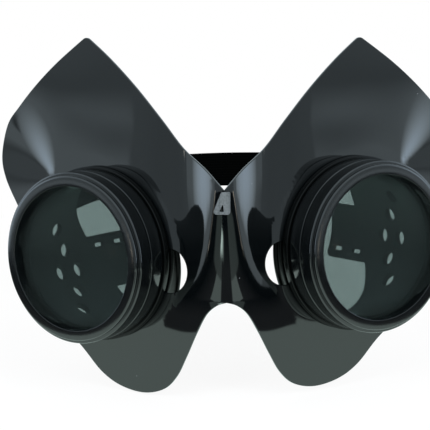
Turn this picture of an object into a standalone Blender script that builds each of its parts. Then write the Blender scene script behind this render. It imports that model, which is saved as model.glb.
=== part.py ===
"""Cat ear goggles: a formed gloss sheet mask with two round screw-ring goggles and a head strap.

The frame has +X to the right of somebody looking at the front, +Y towards the wearer's head and
+Z up. The origin is where the back of the nose ridge meets the wearer's nose, halfway between
the two goggles. Lengths are metres, and MM turns a size in millimetres into metres.
"""
import math

import bmesh
import bpy
from mathutils import Matrix, Vector

MM = 0.001

# Fits shared by every piece
FIT_GAP = 0.3 * MM
CUT_OVERRUN = 4.0 * MM
MERGE_DISTANCE = 0.01 * MM
ROUND_SEGMENTS = 60

# How the two goggles sit on the mask
GOGGLE_YAW = math.radians(34.0)
GOGGLE_PITCH = math.radians(3.0)
NOSE_HALF_SPAN = 15.07 * MM
HOLE_STAGGER = 1.0 * MM

# Mask sheet
SHEET_THICKNESS = 0.9 * MM
TEMPLE_MARGIN = 13.12 * MM
NOTCH_Z = 24.1 * MM
ARCH_Z = -12.8 * MM
EAR_HEIGHT = 69.6 * MM
EAR_STAGGER = 0.8 * MM
CHEEK_MARGIN = 19.0 * MM
LOBE_STAGGER = 0.65 * MM
EAR_TIP_ROUND = 1.6 * MM
RIDGE_TOP_HALF = 4.2 * MM
RIDGE_FOOT_HALF = 12.4 * MM
RELIEF_RADIUS = 7.4 * MM
RELIEF_LAND = 6.9 * MM
RELIEF_DROP = 3.1 * MM
SHEET_COLUMNS = 44
SHEET_ROWS = 16
COLUMN_EVEN_SHARE = 0.35
OUTLINE_STEPS = 3

# The ear's edges run from the notch over the tip towards the temple, in shares of the mask's half
# width and of the rise from the notch to the ear's tip
EAR_INNER_SHARES = ((0.0, 0.0), (0.075, 0.131), (0.167, 0.262), (0.257, 0.455), (0.365, 0.673),
                    (0.478, 0.868), (0.581, 1.018))
EAR_OUTER_SHARES = ((0.581, 1.018), (0.716, 0.825), (0.820, 0.651), (0.907, 0.478),
                    (0.968, 0.332), (1.0, 0.104), (0.985, -0.069), (0.928, -0.275))
# The cheek lobe's edge runs from the temple to the nose arch, in shares of the half width and
# of the fall from the arch to the lobe's foot
LOBE_SHARES = ((0.897, -0.399), (0.853, 0.007), (0.762, 0.380), (0.643, 0.639), (0.555, 0.857),
               (0.469, 0.969), (0.366, 1.0), (0.276, 0.931), (0.2185, 0.784), (0.175, 0.576),
               (0.1285, 0.327), (0.085, 0.131), (0.041, 0.034), (0.0, 0.0))

# Welded tab that closes the dart at the top of the nose
TAB_THICKNESS = 0.5 * MM
TAB_WIDTH = 5.0 * MM
TAB_LENGTH = 7.4 * MM
TAB_TOP_DROP = 0.5 * MM
TAB_CELLS = 8
# Outlines of the tab and of its eye, in shares of its width and of its length from the top
TAB_EDGE_SHARES = ((-0.14, 0.0), (0.30, 0.0), (0.30, 0.9), (0.20, 1.0), (-0.50, 1.0),
                   (-0.60, 0.92), (-0.57, 0.82))
TAB_EYE_SHARES = ((-0.06, 0.52), (-0.03, 0.86), (-0.27, 0.86))

# Eye cup, measured from the sheet's middle: +z is out of the front
NECK_STAND = 0.75 * MM
NECK_WALL = 2.15 * MM
FLANGE_LAND = 2.55 * MM
FLANGE_THICKNESS = 1.5 * MM
CUP_SETBACK = 0.7 * MM
CUP_WALL = 1.6 * MM
CUP_DEPTH = 31.0 * MM
RIM_BEAD_HEIGHT = 0.7 * MM
RIM_BEAD_LENGTH = 1.6 * MM
RIM_BEAD_ROUND = 0.5 * MM
# How deep the cup's rim reaches around the face: degrees round the axis from the nose through
# the top, and the share of the cup's depth there
RIM_CONTOUR_SHARES = ((0, 0.09), (40, 0.14), (90, 0.30), (138, 0.46), (180, 0.88), (205, 1.0),
                      (235, 0.92), (270, 0.64), (315, 0.24), (350, 0.10))
# The vents lie in a triangle of rows, the longest one nearest the flange
VENT_RADIUS = 2.5 * MM
VENT_DEPTH = 6.8 * MM
VENT_ROW_STEP = 4.6 * MM
VENT_ROWS = 3
VENT_MIDDLE = math.radians(189.0)
VENT_SPACING = math.radians(32.5)
# Each cup is turned by this much in its hole, the left one towards its top
CUP_ROLL = math.radians(15.0)

# Tongue that reaches back from the cup's temple side, with two short slots near one edge
TONGUE_MIDDLE = math.radians(7.0)
TONGUE_WIDTH = 19.2 * MM
TONGUE_THICKNESS = 1.2 * MM
TONGUE_ROOT = 20.0 * MM
TONGUE_REACH = 46.0 * MM
TONGUE_ROUND = 3.0 * MM
TONGUE_SLOT_DEPTH = 30.0 * MM
TONGUE_SLOT_SPACING = 10.6 * MM
TONGUE_SLOT_LENGTH = 4.6 * MM
TONGUE_SLOT_WIDTH = 1.4 * MM
TONGUE_SLOT_EDGE = 2.6 * MM

# Strap lug on the cup's temple side
LUG_DEPTH = 8.0 * MM
LUG_THICKNESS = 2.0 * MM
LUG_HALF_HEIGHT = 10.4 * MM
LUG_SLOT_SETBACK = 1.6 * MM
LUG_SLOT_WIDTH = 2.6 * MM
LUG_BAR_WIDTH = 2.3 * MM
LUG_ROUND = 0.5 * MM
LUG_ROOT_SHARE = 0.4

# Screw thread between neck and lens ring
THREAD_PITCH = 3.0 * MM
THREAD_TURNS = 7 / 6
THREAD_WIDTH = 1.0 * MM
THREAD_TIP_WIDTH = 0.7 * MM
THREAD_HEIGHT = 0.7 * MM
THREAD_ROOT_SINK = 0.3 * MM
THREAD_LEAD_SHARE = 0.7
THREAD_SEGMENTS = 36

# Clamp ring that holds the sheet against the cup's flange
CLAMP_LAND = 2.55 * MM
CLAMP_THICKNESS = 2.2 * MM
CLAMP_CHAMFER = 0.4 * MM

# Lens ring
RING_WALL = 1.75 * MM
RING_LENGTH = 12.95 * MM
RING_SEAT_WIDTH = 1.4 * MM
RING_APERTURE_DEPTH = 3.35 * MM
RING_APERTURE_DRAFT = 0.5 * MM
RING_APERTURE_CHAMFER = 0.15 * MM
RING_COLLAR_STEP = 1.1 * MM
RING_COLLAR_HEIGHT = 1.35 * MM
RING_COLLAR_ROUND = 1.1 * MM
RING_LIP_ROUND = 0.9 * MM
RING_LIP_STEPS = 3
RING_LIP_SIDE = 4.3 * MM
RING_GROOVE_WIDTH = 0.5 * MM
RING_GROOVE_DEPTH = 0.5 * MM
RING_FOOT_CHAMFER = 0.5 * MM

# Lenses and gasket
LENS_RADIUS = 25.0 * MM
TINTED_LENS_THICKNESS = 1.8 * MM
CLEAR_LENS_THICKNESS = 1.0 * MM
GASKET_THICKNESS = 0.8 * MM
LENS_EDGE_ROUND = 0.25 * MM

# Elastic strap
STRAP_WIDTH = 13.7 * MM
STRAP_THICKNESS = 1.2 * MM
STRAP_WRAP_GAP = 0.4 * MM
STRAP_BACK = 164.0 * MM
STRAP_STRAIGHT = 48.0 * MM
STRAP_LIFT = 4.1 * MM
STRAP_SEWN_TAIL = 22.0 * MM
STRAP_FREE_TAIL = 44.0 * MM
TAIL_SWING = 10.0 * MM
TAIL_STEPS = 6
WRAP_STEPS = 12
LOOP_STEPS = 36

# Bar tacks that sew the strap's left end
TACK_LENGTH = 11.0 * MM
TACK_WIDTH = 0.9 * MM
TACK_HEIGHT = 0.45 * MM
TACK_THREAD = 0.5 * MM
TACK_THREADS = 3
THREAD_SPARE = 0.15 * MM
FRONT_TACK = 13.0 * MM
REAR_TACK = 19.0 * MM

# Slider on the doubled part of the strap
SLIDER_WALL = 1.6 * MM
SLIDER_BAR = 1.0 * MM
SLIDER_LENGTH = 8.0 * MM
SLIDER_START = 12.0 * MM
SLIDER_ROUND = 0.4 * MM

# Colours as the finished pieces show them, and how rough each one is
GLOSS_BLACK_SHEET = ((0.012, 0.014, 0.015, 1.0), 0.08, 0.0, 1.0)
WELD_GREY = ((0.085, 0.09, 0.092, 1.0), 0.6, 0.0, 1.0)
MOULDED_BLACK = ((0.010, 0.010, 0.011, 1.0), 0.25, 0.0, 1.0)
RING_BLACK = ((0.014, 0.015, 0.016, 1.0), 0.18, 0.0, 1.0)
CUP_BLACK = ((0.008, 0.008, 0.008, 1.0), 0.45, 0.0, 1.0)
SMOKE_LENS = ((0.05, 0.07, 0.07, 1.0), 0.03, 0.0, 0.45)
CLEAR_LENS = ((0.75, 0.80, 0.80, 1.0), 0.03, 0.0, 0.25)
RUBBER_BLACK = ((0.012, 0.012, 0.012, 1.0), 0.7, 0.0, 1.0)
WEBBING_BLACK = ((0.006, 0.007, 0.007, 1.0), 0.85, 0.0, 1.0)

# Heights along a goggle's axis that follow from the sizes above
SHEET_HALF = SHEET_THICKNESS / 2
FLANGE_FRONT = -(SHEET_HALF + FIT_GAP)
FLANGE_BACK = FLANGE_FRONT - FLANGE_THICKNESS
CLAMP_BACK = SHEET_HALF + FIT_GAP
CLAMP_FRONT = CLAMP_BACK + CLAMP_THICKNESS
RING_BACK = CLAMP_FRONT + FIT_GAP
RING_FRONT = RING_BACK + RING_LENGTH
RING_SEAT = RING_FRONT - RING_APERTURE_DEPTH
TINTED_FRONT = RING_SEAT - FIT_GAP
TINTED_BACK = TINTED_FRONT - TINTED_LENS_THICKNESS
CLEAR_FRONT = TINTED_BACK - FIT_GAP
CLEAR_BACK = CLEAR_FRONT - CLEAR_LENS_THICKNESS
GASKET_FRONT = CLEAR_BACK - FIT_GAP
GASKET_BACK = GASKET_FRONT - GASKET_THICKNESS
NECK_FRONT = GASKET_BACK - FIT_GAP
THREAD_START = RING_BACK + THREAD_WIDTH * THREAD_LEAD_SHARE

# Radii of a goggle's pieces, which all follow from its round lens
NECK_RADIUS = LENS_RADIUS + NECK_STAND
NECK_BORE_RADIUS = NECK_RADIUS - NECK_WALL
RING_BORE_RADIUS = NECK_RADIUS + THREAD_HEIGHT + FIT_GAP
RING_RADIUS = RING_BORE_RADIUS + RING_WALL
RING_APERTURE_RADIUS = LENS_RADIUS - RING_SEAT_WIDTH
RING_MOUTH_RADIUS = RING_APERTURE_RADIUS + RING_APERTURE_DRAFT
RING_COLLAR_RADIUS = RING_RADIUS - RING_COLLAR_STEP
CLAMP_RADIUS = RING_BORE_RADIUS + CLAMP_LAND
SHEET_HOLE_RADIUS = RING_BORE_RADIUS
FLANGE_RADIUS = SHEET_HOLE_RADIUS + FLANGE_LAND
CUP_RADIUS = FLANGE_RADIUS - CUP_SETBACK
CUP_INNER_RADIUS = CUP_RADIUS - CUP_WALL
RIM_BEAD_RADIUS = CUP_RADIUS + RIM_BEAD_HEIGHT
LUG_ROOT_RADIUS = CUP_INNER_RADIUS + CUP_WALL * LUG_ROOT_SHARE
LUG_SLOT_START = CUP_RADIUS + LUG_SLOT_SETBACK

# Slopes of the flat wings, so that each one is square to its goggle
WING_SWEEP = math.tan(GOGGLE_YAW)
WING_LEAN = math.tan(GOGGLE_PITCH) / math.cos(GOGGLE_YAW)

# Extents of the mask: it reaches past its goggle holes to nose, temples and cheeks, and the
# two halves of the real one aren't quite alike
RELIEF_REACH = FLANGE_RADIUS + RELIEF_LAND
HOLE_X = (RELIEF_REACH + NOSE_HALF_SPAN) * math.cos(GOGGLE_YAW)
MASK_HALF_WIDTH = HOLE_X + SHEET_HOLE_RADIUS * math.cos(GOGGLE_YAW) + TEMPLE_MARGIN
LEFT_EAR_HEIGHT = EAR_HEIGHT + EAR_STAGGER
RIGHT_EAR_HEIGHT = EAR_HEIGHT - EAR_STAGGER
LEFT_LOBE_DEPTH = SHEET_HOLE_RADIUS + CHEEK_MARGIN + LOBE_STAGGER
RIGHT_LOBE_DEPTH = SHEET_HOLE_RADIUS + CHEEK_MARGIN - LOBE_STAGGER


def collection_named(name):
    """Return a new collection that is linked to the scene."""
    made = bpy.data.collections.new(name)
    bpy.context.scene.collection.children.link(made)
    return made


def material_named(name, finish):
    """Return a Principled material of a colour, roughness, metallic value and opacity."""
    colour, roughness, metallic, alpha = finish
    made = bpy.data.materials.new(name)
    made.use_nodes = True
    shader = made.node_tree.nodes["Principled BSDF"]
    shader.inputs["Base Color"].default_value = colour
    shader.inputs["Roughness"].default_value = roughness
    shader.inputs["Metallic"].default_value = metallic
    shader.inputs["Alpha"].default_value = alpha
    return made


def object_from_bmesh(shape, name):
    """Turn a bmesh into an object that no collection holds yet."""
    mesh = bpy.data.meshes.new(name)
    shape.to_mesh(mesh)
    shape.free()
    return bpy.data.objects.new(name, mesh)


def settled(obj):
    """Replace an object's mesh by what its modifiers make of it, welded."""
    bpy.context.view_layer.update()
    evaluated = obj.evaluated_get(bpy.context.evaluated_depsgraph_get())
    mesh = bpy.data.meshes.new_from_object(evaluated)
    obj.modifiers.clear()
    old = obj.data
    obj.data = mesh
    bpy.data.meshes.remove(old)
    shape = bmesh.new()
    shape.from_mesh(mesh)
    bmesh.ops.remove_doubles(shape, verts=shape.verts, dist=MERGE_DISTANCE)
    shape.to_mesh(mesh)
    shape.free()
    return obj


def as_cutter(obj):
    """Put an object among the cutters, out of the render."""
    CUTTERS.objects.link(obj)
    obj.hide_render = True
    obj.display_type = "WIRE"
    return obj


def boolean(obj, operation, tool):
    """Cut, join or trim an object with a cutter and keep the result."""
    step = obj.modifiers.new(operation.lower(), "BOOLEAN")
    step.operation = operation
    step.object = tool
    return settled(obj)


def bevel(obj, width, segments=2, degrees=40.0):
    """Round an object's sharp edges."""
    step = obj.modifiers.new("rounding", "BEVEL")
    step.width = width
    step.segments = segments
    step.limit_method = "ANGLE"
    step.angle_limit = math.radians(degrees)
    return settled(obj)


def turned(name, profile, segments=ROUND_SEGMENTS):
    """Turn a closed profile of (radius, height) points about the Z axis.

    The profile runs down its outer side, from top to bottom.
    """
    shape = bmesh.new()
    points = [shape.verts.new((radius, 0.0, height)) for radius, height in profile]
    for index, point in enumerate(points):
        shape.edges.new((points[index - 1], point))
    obj = object_from_bmesh(shape, name)
    WORKBENCH.objects.link(obj)
    step = obj.modifiers.new("turning", "SCREW")
    step.steps = segments
    step.render_steps = segments
    step.use_merge_vertices = True
    step.merge_threshold = MERGE_DISTANCE
    return settled(obj)


def cylinder(name, radius, low, high, segments=ROUND_SEGMENTS):
    """A cylinder about the Z axis between two heights."""
    shape = bmesh.new()
    bmesh.ops.create_cone(shape, cap_ends=True, segments=segments, radius1=radius,
                          radius2=radius, depth=high - low,
                          matrix=Matrix.Translation((0.0, 0.0, (low + high) / 2)))
    return object_from_bmesh(shape, name)


def block(name, low, high):
    """A box between two corners."""
    size = Vector(high) - Vector(low)
    middle = (Vector(high) + Vector(low)) / 2
    shape = bmesh.new()
    bmesh.ops.create_cube(shape, size=1.0,
                          matrix=Matrix.Translation(middle) @ Matrix.Diagonal(size.to_4d()))
    return object_from_bmesh(shape, name)


def catmull_rom(points, steps):
    """Points on a smooth curve through the given ones, its two ends included."""
    padded = [points[0], *points, points[-1]]
    smooth = []
    for index in range(1, len(padded) - 2):
        p0, p1, p2, p3 = (Vector(padded[index + offset]) for offset in (-1, 0, 1, 2))
        for step in range(steps):
            t = step / steps
            smooth.append(0.5 * (2 * p1 + (p2 - p0) * t + (2 * p0 - 5 * p1 + 4 * p2 - p3) * t ** 2
                                 + (3 * p1 - p0 - 3 * p2 + p3) * t ** 3))
    smooth.append(Vector(points[-1]))
    return smooth


# Form of the mask


def ridge_half_width(z):
    """Half the width of the rounded nose ridge at a height."""
    share = min(max((NOTCH_Z - z) / (NOTCH_Z - ARCH_Z), 0.0), 1.0)
    return RIDGE_TOP_HALF + (RIDGE_FOOT_HALF - RIDGE_TOP_HALF) * share


def ridge_run(x, z):
    """Distance from the middle plane, eased round the nose ridge."""
    half = ridge_half_width(z)
    share = abs(x) / half
    if share >= 1.0:
        return abs(x)
    return half * (3 + 6 * share ** 2 - share ** 4) / 8


def mask_depth(x, z):
    """How far back the middle of the sheet lies at a place seen from the front."""
    return (WING_SWEEP * (ridge_run(x, z) - ridge_run(0.0, 0.0)) + WING_LEAN * z - SHEET_HALF)


def mask_normal(x, z):
    """The sheet's unit normal there, pointing back."""
    reach = FIT_GAP
    slope_x = (mask_depth(x + reach, z) - mask_depth(x - reach, z)) / (2 * reach)
    slope_z = (mask_depth(x, z + reach) - mask_depth(x, z - reach)) / (2 * reach)
    return Vector((-slope_x, 1.0, -slope_z)).normalized()


def form_on_mask(obj):
    """Bend a flat blank, whose Y is its depth, onto the mask's form."""
    for vertex in obj.data.vertices:
        x, depth, z = vertex.co
        vertex.co = Vector((x, mask_depth(x, z), z)) + depth * mask_normal(x, z)
    return obj


def flat_blank(name, half_width, low, high, front, back, columns, rows, even_share=1.0):
    """A flat slab of cells in the XZ plane, finer near its middle, between two depths."""
    shape = bmesh.new()
    bmesh.ops.create_grid(shape, x_segments=columns, y_segments=rows, size=1.0)
    for vertex in shape.verts:
        across, up, _ = vertex.co
        x = half_width * across * (even_share + (1.0 - even_share) * across ** 2)
        z = low + (high - low) * (up + 1.0) / 2
        vertex.co = (x, front, z)
    bmesh.ops.recalc_face_normals(shape, faces=shape.faces)
    obj = object_from_bmesh(shape, name)
    WORKBENCH.objects.link(obj)
    step = obj.modifiers.new("thickness", "SOLIDIFY")
    step.thickness = back - front
    step.offset = 1.0 if obj.data.polygons[0].normal.y > 0 else -1.0
    return settled(obj)


def outline_cutter(name, outline, reach):
    """A prism along Y over an outline of (x, z) points."""
    curve = bpy.data.curves.new(name, "CURVE")
    curve.dimensions = "2D"
    curve.fill_mode = "BOTH"
    curve.extrude = reach
    spline = curve.splines.new("POLY")
    spline.points.add(len(outline) - 1)
    for point, place in zip(spline.points, outline):
        point.co = (place[0], place[1], 0.0, 1.0)
    spline.use_cyclic_u = True
    guide = bpy.data.objects.new(name, curve)
    WORKBENCH.objects.link(guide)
    bpy.context.view_layer.update()
    evaluated = guide.evaluated_get(bpy.context.evaluated_depsgraph_get())
    mesh = bpy.data.meshes.new_from_object(evaluated)
    bpy.data.objects.remove(guide)
    shape = bmesh.new()
    shape.from_mesh(mesh)
    bpy.data.meshes.remove(mesh)
    bmesh.ops.remove_doubles(shape, verts=shape.verts, dist=MERGE_DISTANCE)
    bmesh.ops.rotate(shape, verts=shape.verts, cent=(0.0, 0.0, 0.0),
                     matrix=Matrix.Rotation(math.radians(90.0), 3, "X"))
    bmesh.ops.recalc_face_normals(shape, faces=shape.faces)
    return as_cutter(object_from_bmesh(shape, name))


def triangulated(obj):
    """Split an object's faces into triangles, so that forming it bends none of them."""
    shape = bmesh.new()
    shape.from_mesh(obj.data)
    bmesh.ops.triangulate(shape, faces=shape.faces)
    shape.to_mesh(obj.data)
    shape.free()
    return obj


def rounded_tip(before, tip, after):
    """Points of a small arc that rounds the ear's tip between two neighbours."""
    into = (Vector(before) - Vector(tip)).normalized()
    out = (Vector(after) - Vector(tip)).normalized()
    half_angle = into.angle(out) / 2
    centre = Vector(tip) + (into + out).normalized() * EAR_TIP_ROUND / math.sin(half_angle)
    start = Vector(tip) + into * EAR_TIP_ROUND / math.tan(half_angle)
    end = Vector(tip) + out * EAR_TIP_ROUND / math.tan(half_angle)
    middle = centre + (Vector(tip) - centre).normalized() * EAR_TIP_ROUND
    return [start, middle, end]


def half_outline(ear_height, lobe_depth):
    """Outline of the mask's right half from the notch over ear and lobe to the arch."""
    def spread(shares, start, end):
        return [(x * MASK_HALF_WIDTH, start + z * (end - start)) for x, z in shares]

    inner = catmull_rom(spread(EAR_INNER_SHARES, NOTCH_Z, ear_height), OUTLINE_STEPS)
    outer = catmull_rom(spread(EAR_OUTER_SHARES, NOTCH_Z, ear_height), OUTLINE_STEPS)
    lobe = catmull_rom(spread(LOBE_SHARES, ARCH_Z, -lobe_depth), OUTLINE_STEPS)
    tip = rounded_tip(inner[-2], inner[-1], outer[1])
    return inner[:-1] + tip + outer[1:] + lobe


def mask_outline():
    """The whole outline of the mask seen from the front, as (x, z) points."""
    right = half_outline(RIGHT_EAR_HEIGHT, RIGHT_LOBE_DEPTH)
    left = half_outline(LEFT_EAR_HEIGHT, LEFT_LOBE_DEPTH)
    mirrored = [(-point[0], point[1]) for point in reversed(left[1:-1])]
    return [(point[0], point[1]) for point in right] + mirrored


def goggle_matrix(side):
    """Place and turn of a goggle's own frame: +z out of its front, +x from temple to nose.

    The side is -1 on the left of the picture and 1 on the right. The right goggle is the same
    moulding turned over, so its own top points down.
    """
    height = side * HOLE_STAGGER
    outward = Vector((side * math.sin(GOGGLE_YAW) * math.cos(GOGGLE_PITCH),
                      -math.cos(GOGGLE_YAW) * math.cos(GOGGLE_PITCH), math.sin(GOGGLE_PITCH)))
    noseward = Vector((-side * math.cos(GOGGLE_YAW), -math.sin(GOGGLE_YAW), 0.0))
    upward = outward.cross(noseward)
    turned_frame = Matrix((noseward, upward, outward)).transposed().to_4x4()
    centre = Vector((side * HOLE_X, mask_depth(HOLE_X, height), height))
    return Matrix.Translation(centre) @ turned_frame


def mask_sheet():
    """The formed sheet with its two goggle holes and the relief beside the nose."""
    reach = CUT_OVERRUN
    low = -(max(LEFT_LOBE_DEPTH, RIGHT_LOBE_DEPTH) + reach)
    high = max(LEFT_EAR_HEIGHT, RIGHT_EAR_HEIGHT) + reach
    sheet = flat_blank("mask_sheet", MASK_HALF_WIDTH + reach, low, high, -SHEET_HALF,
                       SHEET_HALF, SHEET_COLUMNS, SHEET_ROWS, COLUMN_EVEN_SHARE)
    boolean(sheet, "INTERSECT", outline_cutter("mask_outline", mask_outline(), reach))
    form_on_mask(triangulated(sheet))
    for side in (-1, 1):
        place = goggle_matrix(side)
        hole = cylinder("goggle_hole", SHEET_HOLE_RADIUS, -reach, reach)
        relief = cylinder("nose_relief", RELIEF_RADIUS, -reach, reach, ROUND_SEGMENTS // 2)
        drop = Matrix.Translation((RELIEF_REACH - RELIEF_RADIUS, side * RELIEF_DROP, 0.0))
        hole.data.transform(place)
        relief.data.transform(place @ drop)
        boolean(sheet, "DIFFERENCE", as_cutter(hole))
        boolean(sheet, "DIFFERENCE", as_cutter(relief))
    return sheet


def dart_tab():
    """The small welded tab over the dart at the top of the nose, with its eye."""
    def spread(shares):
        return [(x * TAB_WIDTH, NOTCH_Z - TAB_TOP_DROP - z * TAB_LENGTH) for x, z in shares]

    back = -(SHEET_HALF + FIT_GAP)
    tab = flat_blank("dart_tab", TAB_WIDTH, NOTCH_Z - TAB_LENGTH - CUT_OVERRUN, NOTCH_Z,
                     back - TAB_THICKNESS, back, TAB_CELLS * 2, TAB_CELLS)
    boolean(tab, "INTERSECT", outline_cutter("tab_edge", spread(TAB_EDGE_SHARES), CUT_OVERRUN))
    boolean(tab, "DIFFERENCE", outline_cutter("tab_eye", spread(TAB_EYE_SHARES), CUT_OVERRUN))
    return form_on_mask(triangulated(tab))


# Goggle pieces, in the goggle's own frame

def rim_depth(angle):
    """How far the cup's rim reaches behind its flange at an angle about the axis."""
    turn = 360.0
    degrees = math.degrees(angle) % turn
    knots = ([(at - turn, share) for at, share in RIM_CONTOUR_SHARES[-2:]]
             + list(RIM_CONTOUR_SHARES)
             + [(at + turn, share) for at, share in RIM_CONTOUR_SHARES[:2]])
    for before, start, end, after in zip(knots, knots[1:], knots[2:], knots[3:]):
        if start[0] <= degrees <= end[0]:
            span = end[0] - start[0]
            leave = (end[1] - before[1]) / (end[0] - before[0]) * span
            enter = (after[1] - start[1]) / (after[0] - start[0]) * span
            t = (degrees - start[0]) / span
            share = ((2 * t ** 3 - 3 * t ** 2 + 1) * start[1] + (t ** 3 - 2 * t ** 2 + t) * leave
                     + (3 * t ** 2 - 2 * t ** 3) * end[1] + (t ** 3 - t ** 2) * enter)
            return CUP_DEPTH * share
    return CUP_DEPTH


def contour_rim(obj):
    """Draw the turned cup's wall in or out, so that its rim follows the face."""
    wall_end = CUP_DEPTH - RIM_BEAD_LENGTH
    for vertex in obj.data.vertices:
        depth = FLANGE_BACK - vertex.co.z
        if depth <= MERGE_DISTANCE:
            continue
        reach = rim_depth(math.atan2(vertex.co.y, vertex.co.x))
        if depth < wall_end:
            depth = depth * (reach - RIM_BEAD_LENGTH) / wall_end
        else:
            depth = depth - (CUP_DEPTH - reach)
        vertex.co.z = FLANGE_BACK - depth
    return obj


def thread_ridge(name, root, crest, start_angle):
    """A helical ridge between two radii that climbs the shared thread."""
    half = THREAD_WIDTH / 2
    half_tip = THREAD_TIP_WIDTH / 2
    profile = ((root, half), (crest, half_tip), (crest, -half_tip), (root, -half))
    if crest < root:
        profile = tuple(reversed(profile))
    shape = bmesh.new()
    points = [shape.verts.new((radius, 0.0, THREAD_START + height)) for radius, height in profile]
    for index, point in enumerate(points):
        shape.edges.new((points[index - 1], point))
    obj = object_from_bmesh(shape, name)
    WORKBENCH.objects.link(obj)
    step = obj.modifiers.new("thread", "SCREW")
    step.angle = math.tau * THREAD_TURNS
    step.screw_offset = THREAD_PITCH * THREAD_TURNS
    step.steps = round(THREAD_SEGMENTS * THREAD_TURNS)
    step.render_steps = step.steps
    settled(obj)
    shape = bmesh.new()
    shape.from_mesh(obj.data)
    bmesh.ops.holes_fill(shape, edges=shape.edges, sides=len(profile))
    bmesh.ops.recalc_face_normals(shape, faces=shape.faces)
    bmesh.ops.rotate(shape, verts=shape.verts, cent=(0.0, 0.0, 0.0),
                     matrix=Matrix.Rotation(start_angle, 3, "Z"))
    shape.to_mesh(obj.data)
    shape.free()
    WORKBENCH.objects.unlink(obj)
    return as_cutter(obj)


def eye_cup(side):
    """One side's cup: threaded neck, flange, contoured wall, tongue, vents and strap lug."""
    wall_rows = 3
    wall_end = FLANGE_BACK - (CUP_DEPTH - RIM_BEAD_LENGTH)
    rim = FLANGE_BACK - CUP_DEPTH
    outer_wall = [(CUP_RADIUS, FLANGE_BACK + (wall_end - FLANGE_BACK) * row / wall_rows)
                  for row in range(wall_rows)]
    inner_wall = [(CUP_INNER_RADIUS, height) for _, height in reversed(outer_wall)]
    profile = [(NECK_BORE_RADIUS, NECK_FRONT), (NECK_RADIUS, NECK_FRONT),
               (NECK_RADIUS, FLANGE_FRONT), (FLANGE_RADIUS, FLANGE_FRONT),
               (FLANGE_RADIUS, FLANGE_BACK), *outer_wall, (CUP_RADIUS, wall_end),
               (RIM_BEAD_RADIUS, wall_end - RIM_BEAD_ROUND),
               (RIM_BEAD_RADIUS, rim + RIM_BEAD_ROUND), (RIM_BEAD_RADIUS - RIM_BEAD_ROUND, rim),
               (CUP_INNER_RADIUS, rim), (CUP_INNER_RADIUS, wall_end), *inner_wall,
               (NECK_BORE_RADIUS, FLANGE_BACK)]
    cup = contour_rim(turned("eye_cup", profile))
    boolean(cup, "UNION", as_cutter(temple_tongue()))
    roll = Matrix.Rotation(-side * CUP_ROLL, 4, "Z")
    cup.data.transform(roll)
    boolean(cup, "UNION", thread_ridge("neck_thread", NECK_RADIUS - THREAD_ROOT_SINK,
                                       NECK_RADIUS + THREAD_HEIGHT, 0.0))
    boolean(cup, "UNION", as_cutter(strap_lug()))
    for angle, depth in vent_places():
        vent = cylinder("vent", VENT_RADIUS, CUP_INNER_RADIUS - CUT_OVERRUN,
                        CUP_RADIUS + CUT_OVERRUN, ROUND_SEGMENTS // 4)
        outwards = Matrix.Rotation(math.radians(90.0), 4, "Y")
        around = Matrix.Rotation(angle, 4, "Z")
        sink = Matrix.Translation((0.0, 0.0, FLANGE_BACK - depth))
        vent.data.transform(roll @ sink @ around @ outwards)
        boolean(cup, "DIFFERENCE", as_cutter(vent))
    return cup


def vent_places():
    """Angle about the axis and depth behind the flange of each vent."""
    places = []
    for row in range(VENT_ROWS):
        count = VENT_ROWS - row
        for index in range(count):
            places.append((VENT_MIDDLE + VENT_SPACING * (index - (count - 1) / 2),
                           VENT_DEPTH + VENT_ROW_STEP * row))
    return places


def temple_tongue():
    """The tongue, cut from a ring in the cup's wall, with its two short slots."""
    inner = (CUP_INNER_RADIUS + CUP_RADIUS - TONGUE_THICKNESS) / 2
    outer = inner + TONGUE_THICKNESS
    top = FLANGE_BACK - TONGUE_ROOT
    end = FLANGE_BACK - TONGUE_REACH
    tongue = turned("temple_tongue", [(outer, top), (outer, end), (inner, end), (inner, top)])
    half = TONGUE_WIDTH / 2
    keep = block("tongue_edges", (-(outer + TONGUE_ROUND + CUT_OVERRUN), -half, end),
                 (-half, half, top + TONGUE_ROUND))
    WORKBENCH.objects.link(keep)
    bevel(keep, TONGUE_ROUND)
    WORKBENCH.objects.unlink(keep)
    boolean(tongue, "INTERSECT", as_cutter(keep))
    edge = half - TONGUE_SLOT_EDGE
    for depth in (TONGUE_SLOT_DEPTH, TONGUE_SLOT_DEPTH + TONGUE_SLOT_SPACING):
        low = FLANGE_BACK - depth - TONGUE_SLOT_LENGTH / 2
        slot = block("tongue_slot", (-(outer + CUT_OVERRUN), edge - TONGUE_SLOT_WIDTH, low),
                     (-half, edge, low + TONGUE_SLOT_LENGTH))
        boolean(tongue, "DIFFERENCE", as_cutter(slot))
    tongue.data.transform(Matrix.Rotation(TONGUE_MIDDLE, 4, "Z"))
    WORKBENCH.objects.unlink(tongue)
    return tongue


def strap_lug():
    """A flat lug on the temple side with a slot for the strap, as one solid."""
    low = -(SHEET_HALF + LUG_DEPTH + LUG_THICKNESS / 2)
    high = low + LUG_THICKNESS
    slot_end = LUG_SLOT_START + LUG_SLOT_WIDTH
    lug = block("strap_lug", (-(slot_end + LUG_BAR_WIDTH), -LUG_HALF_HEIGHT, low),
                (-LUG_ROOT_RADIUS, LUG_HALF_HEIGHT, high))
    WORKBENCH.objects.link(lug)
    slot_half = STRAP_WIDTH / 2 + FIT_GAP * 3
    slot = block("lug_slot", (-slot_end, -slot_half, low - CUT_OVERRUN),
                 (-LUG_SLOT_START, slot_half, high + CUT_OVERRUN))
    bevel(lug, LUG_ROUND, 1)
    boolean(lug, "DIFFERENCE", as_cutter(slot))
    core = cylinder("lug_core", LUG_ROOT_RADIUS, low - CUT_OVERRUN, high + CUT_OVERRUN)
    boolean(lug, "DIFFERENCE", as_cutter(core))
    WORKBENCH.objects.unlink(lug)
    return lug


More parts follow.
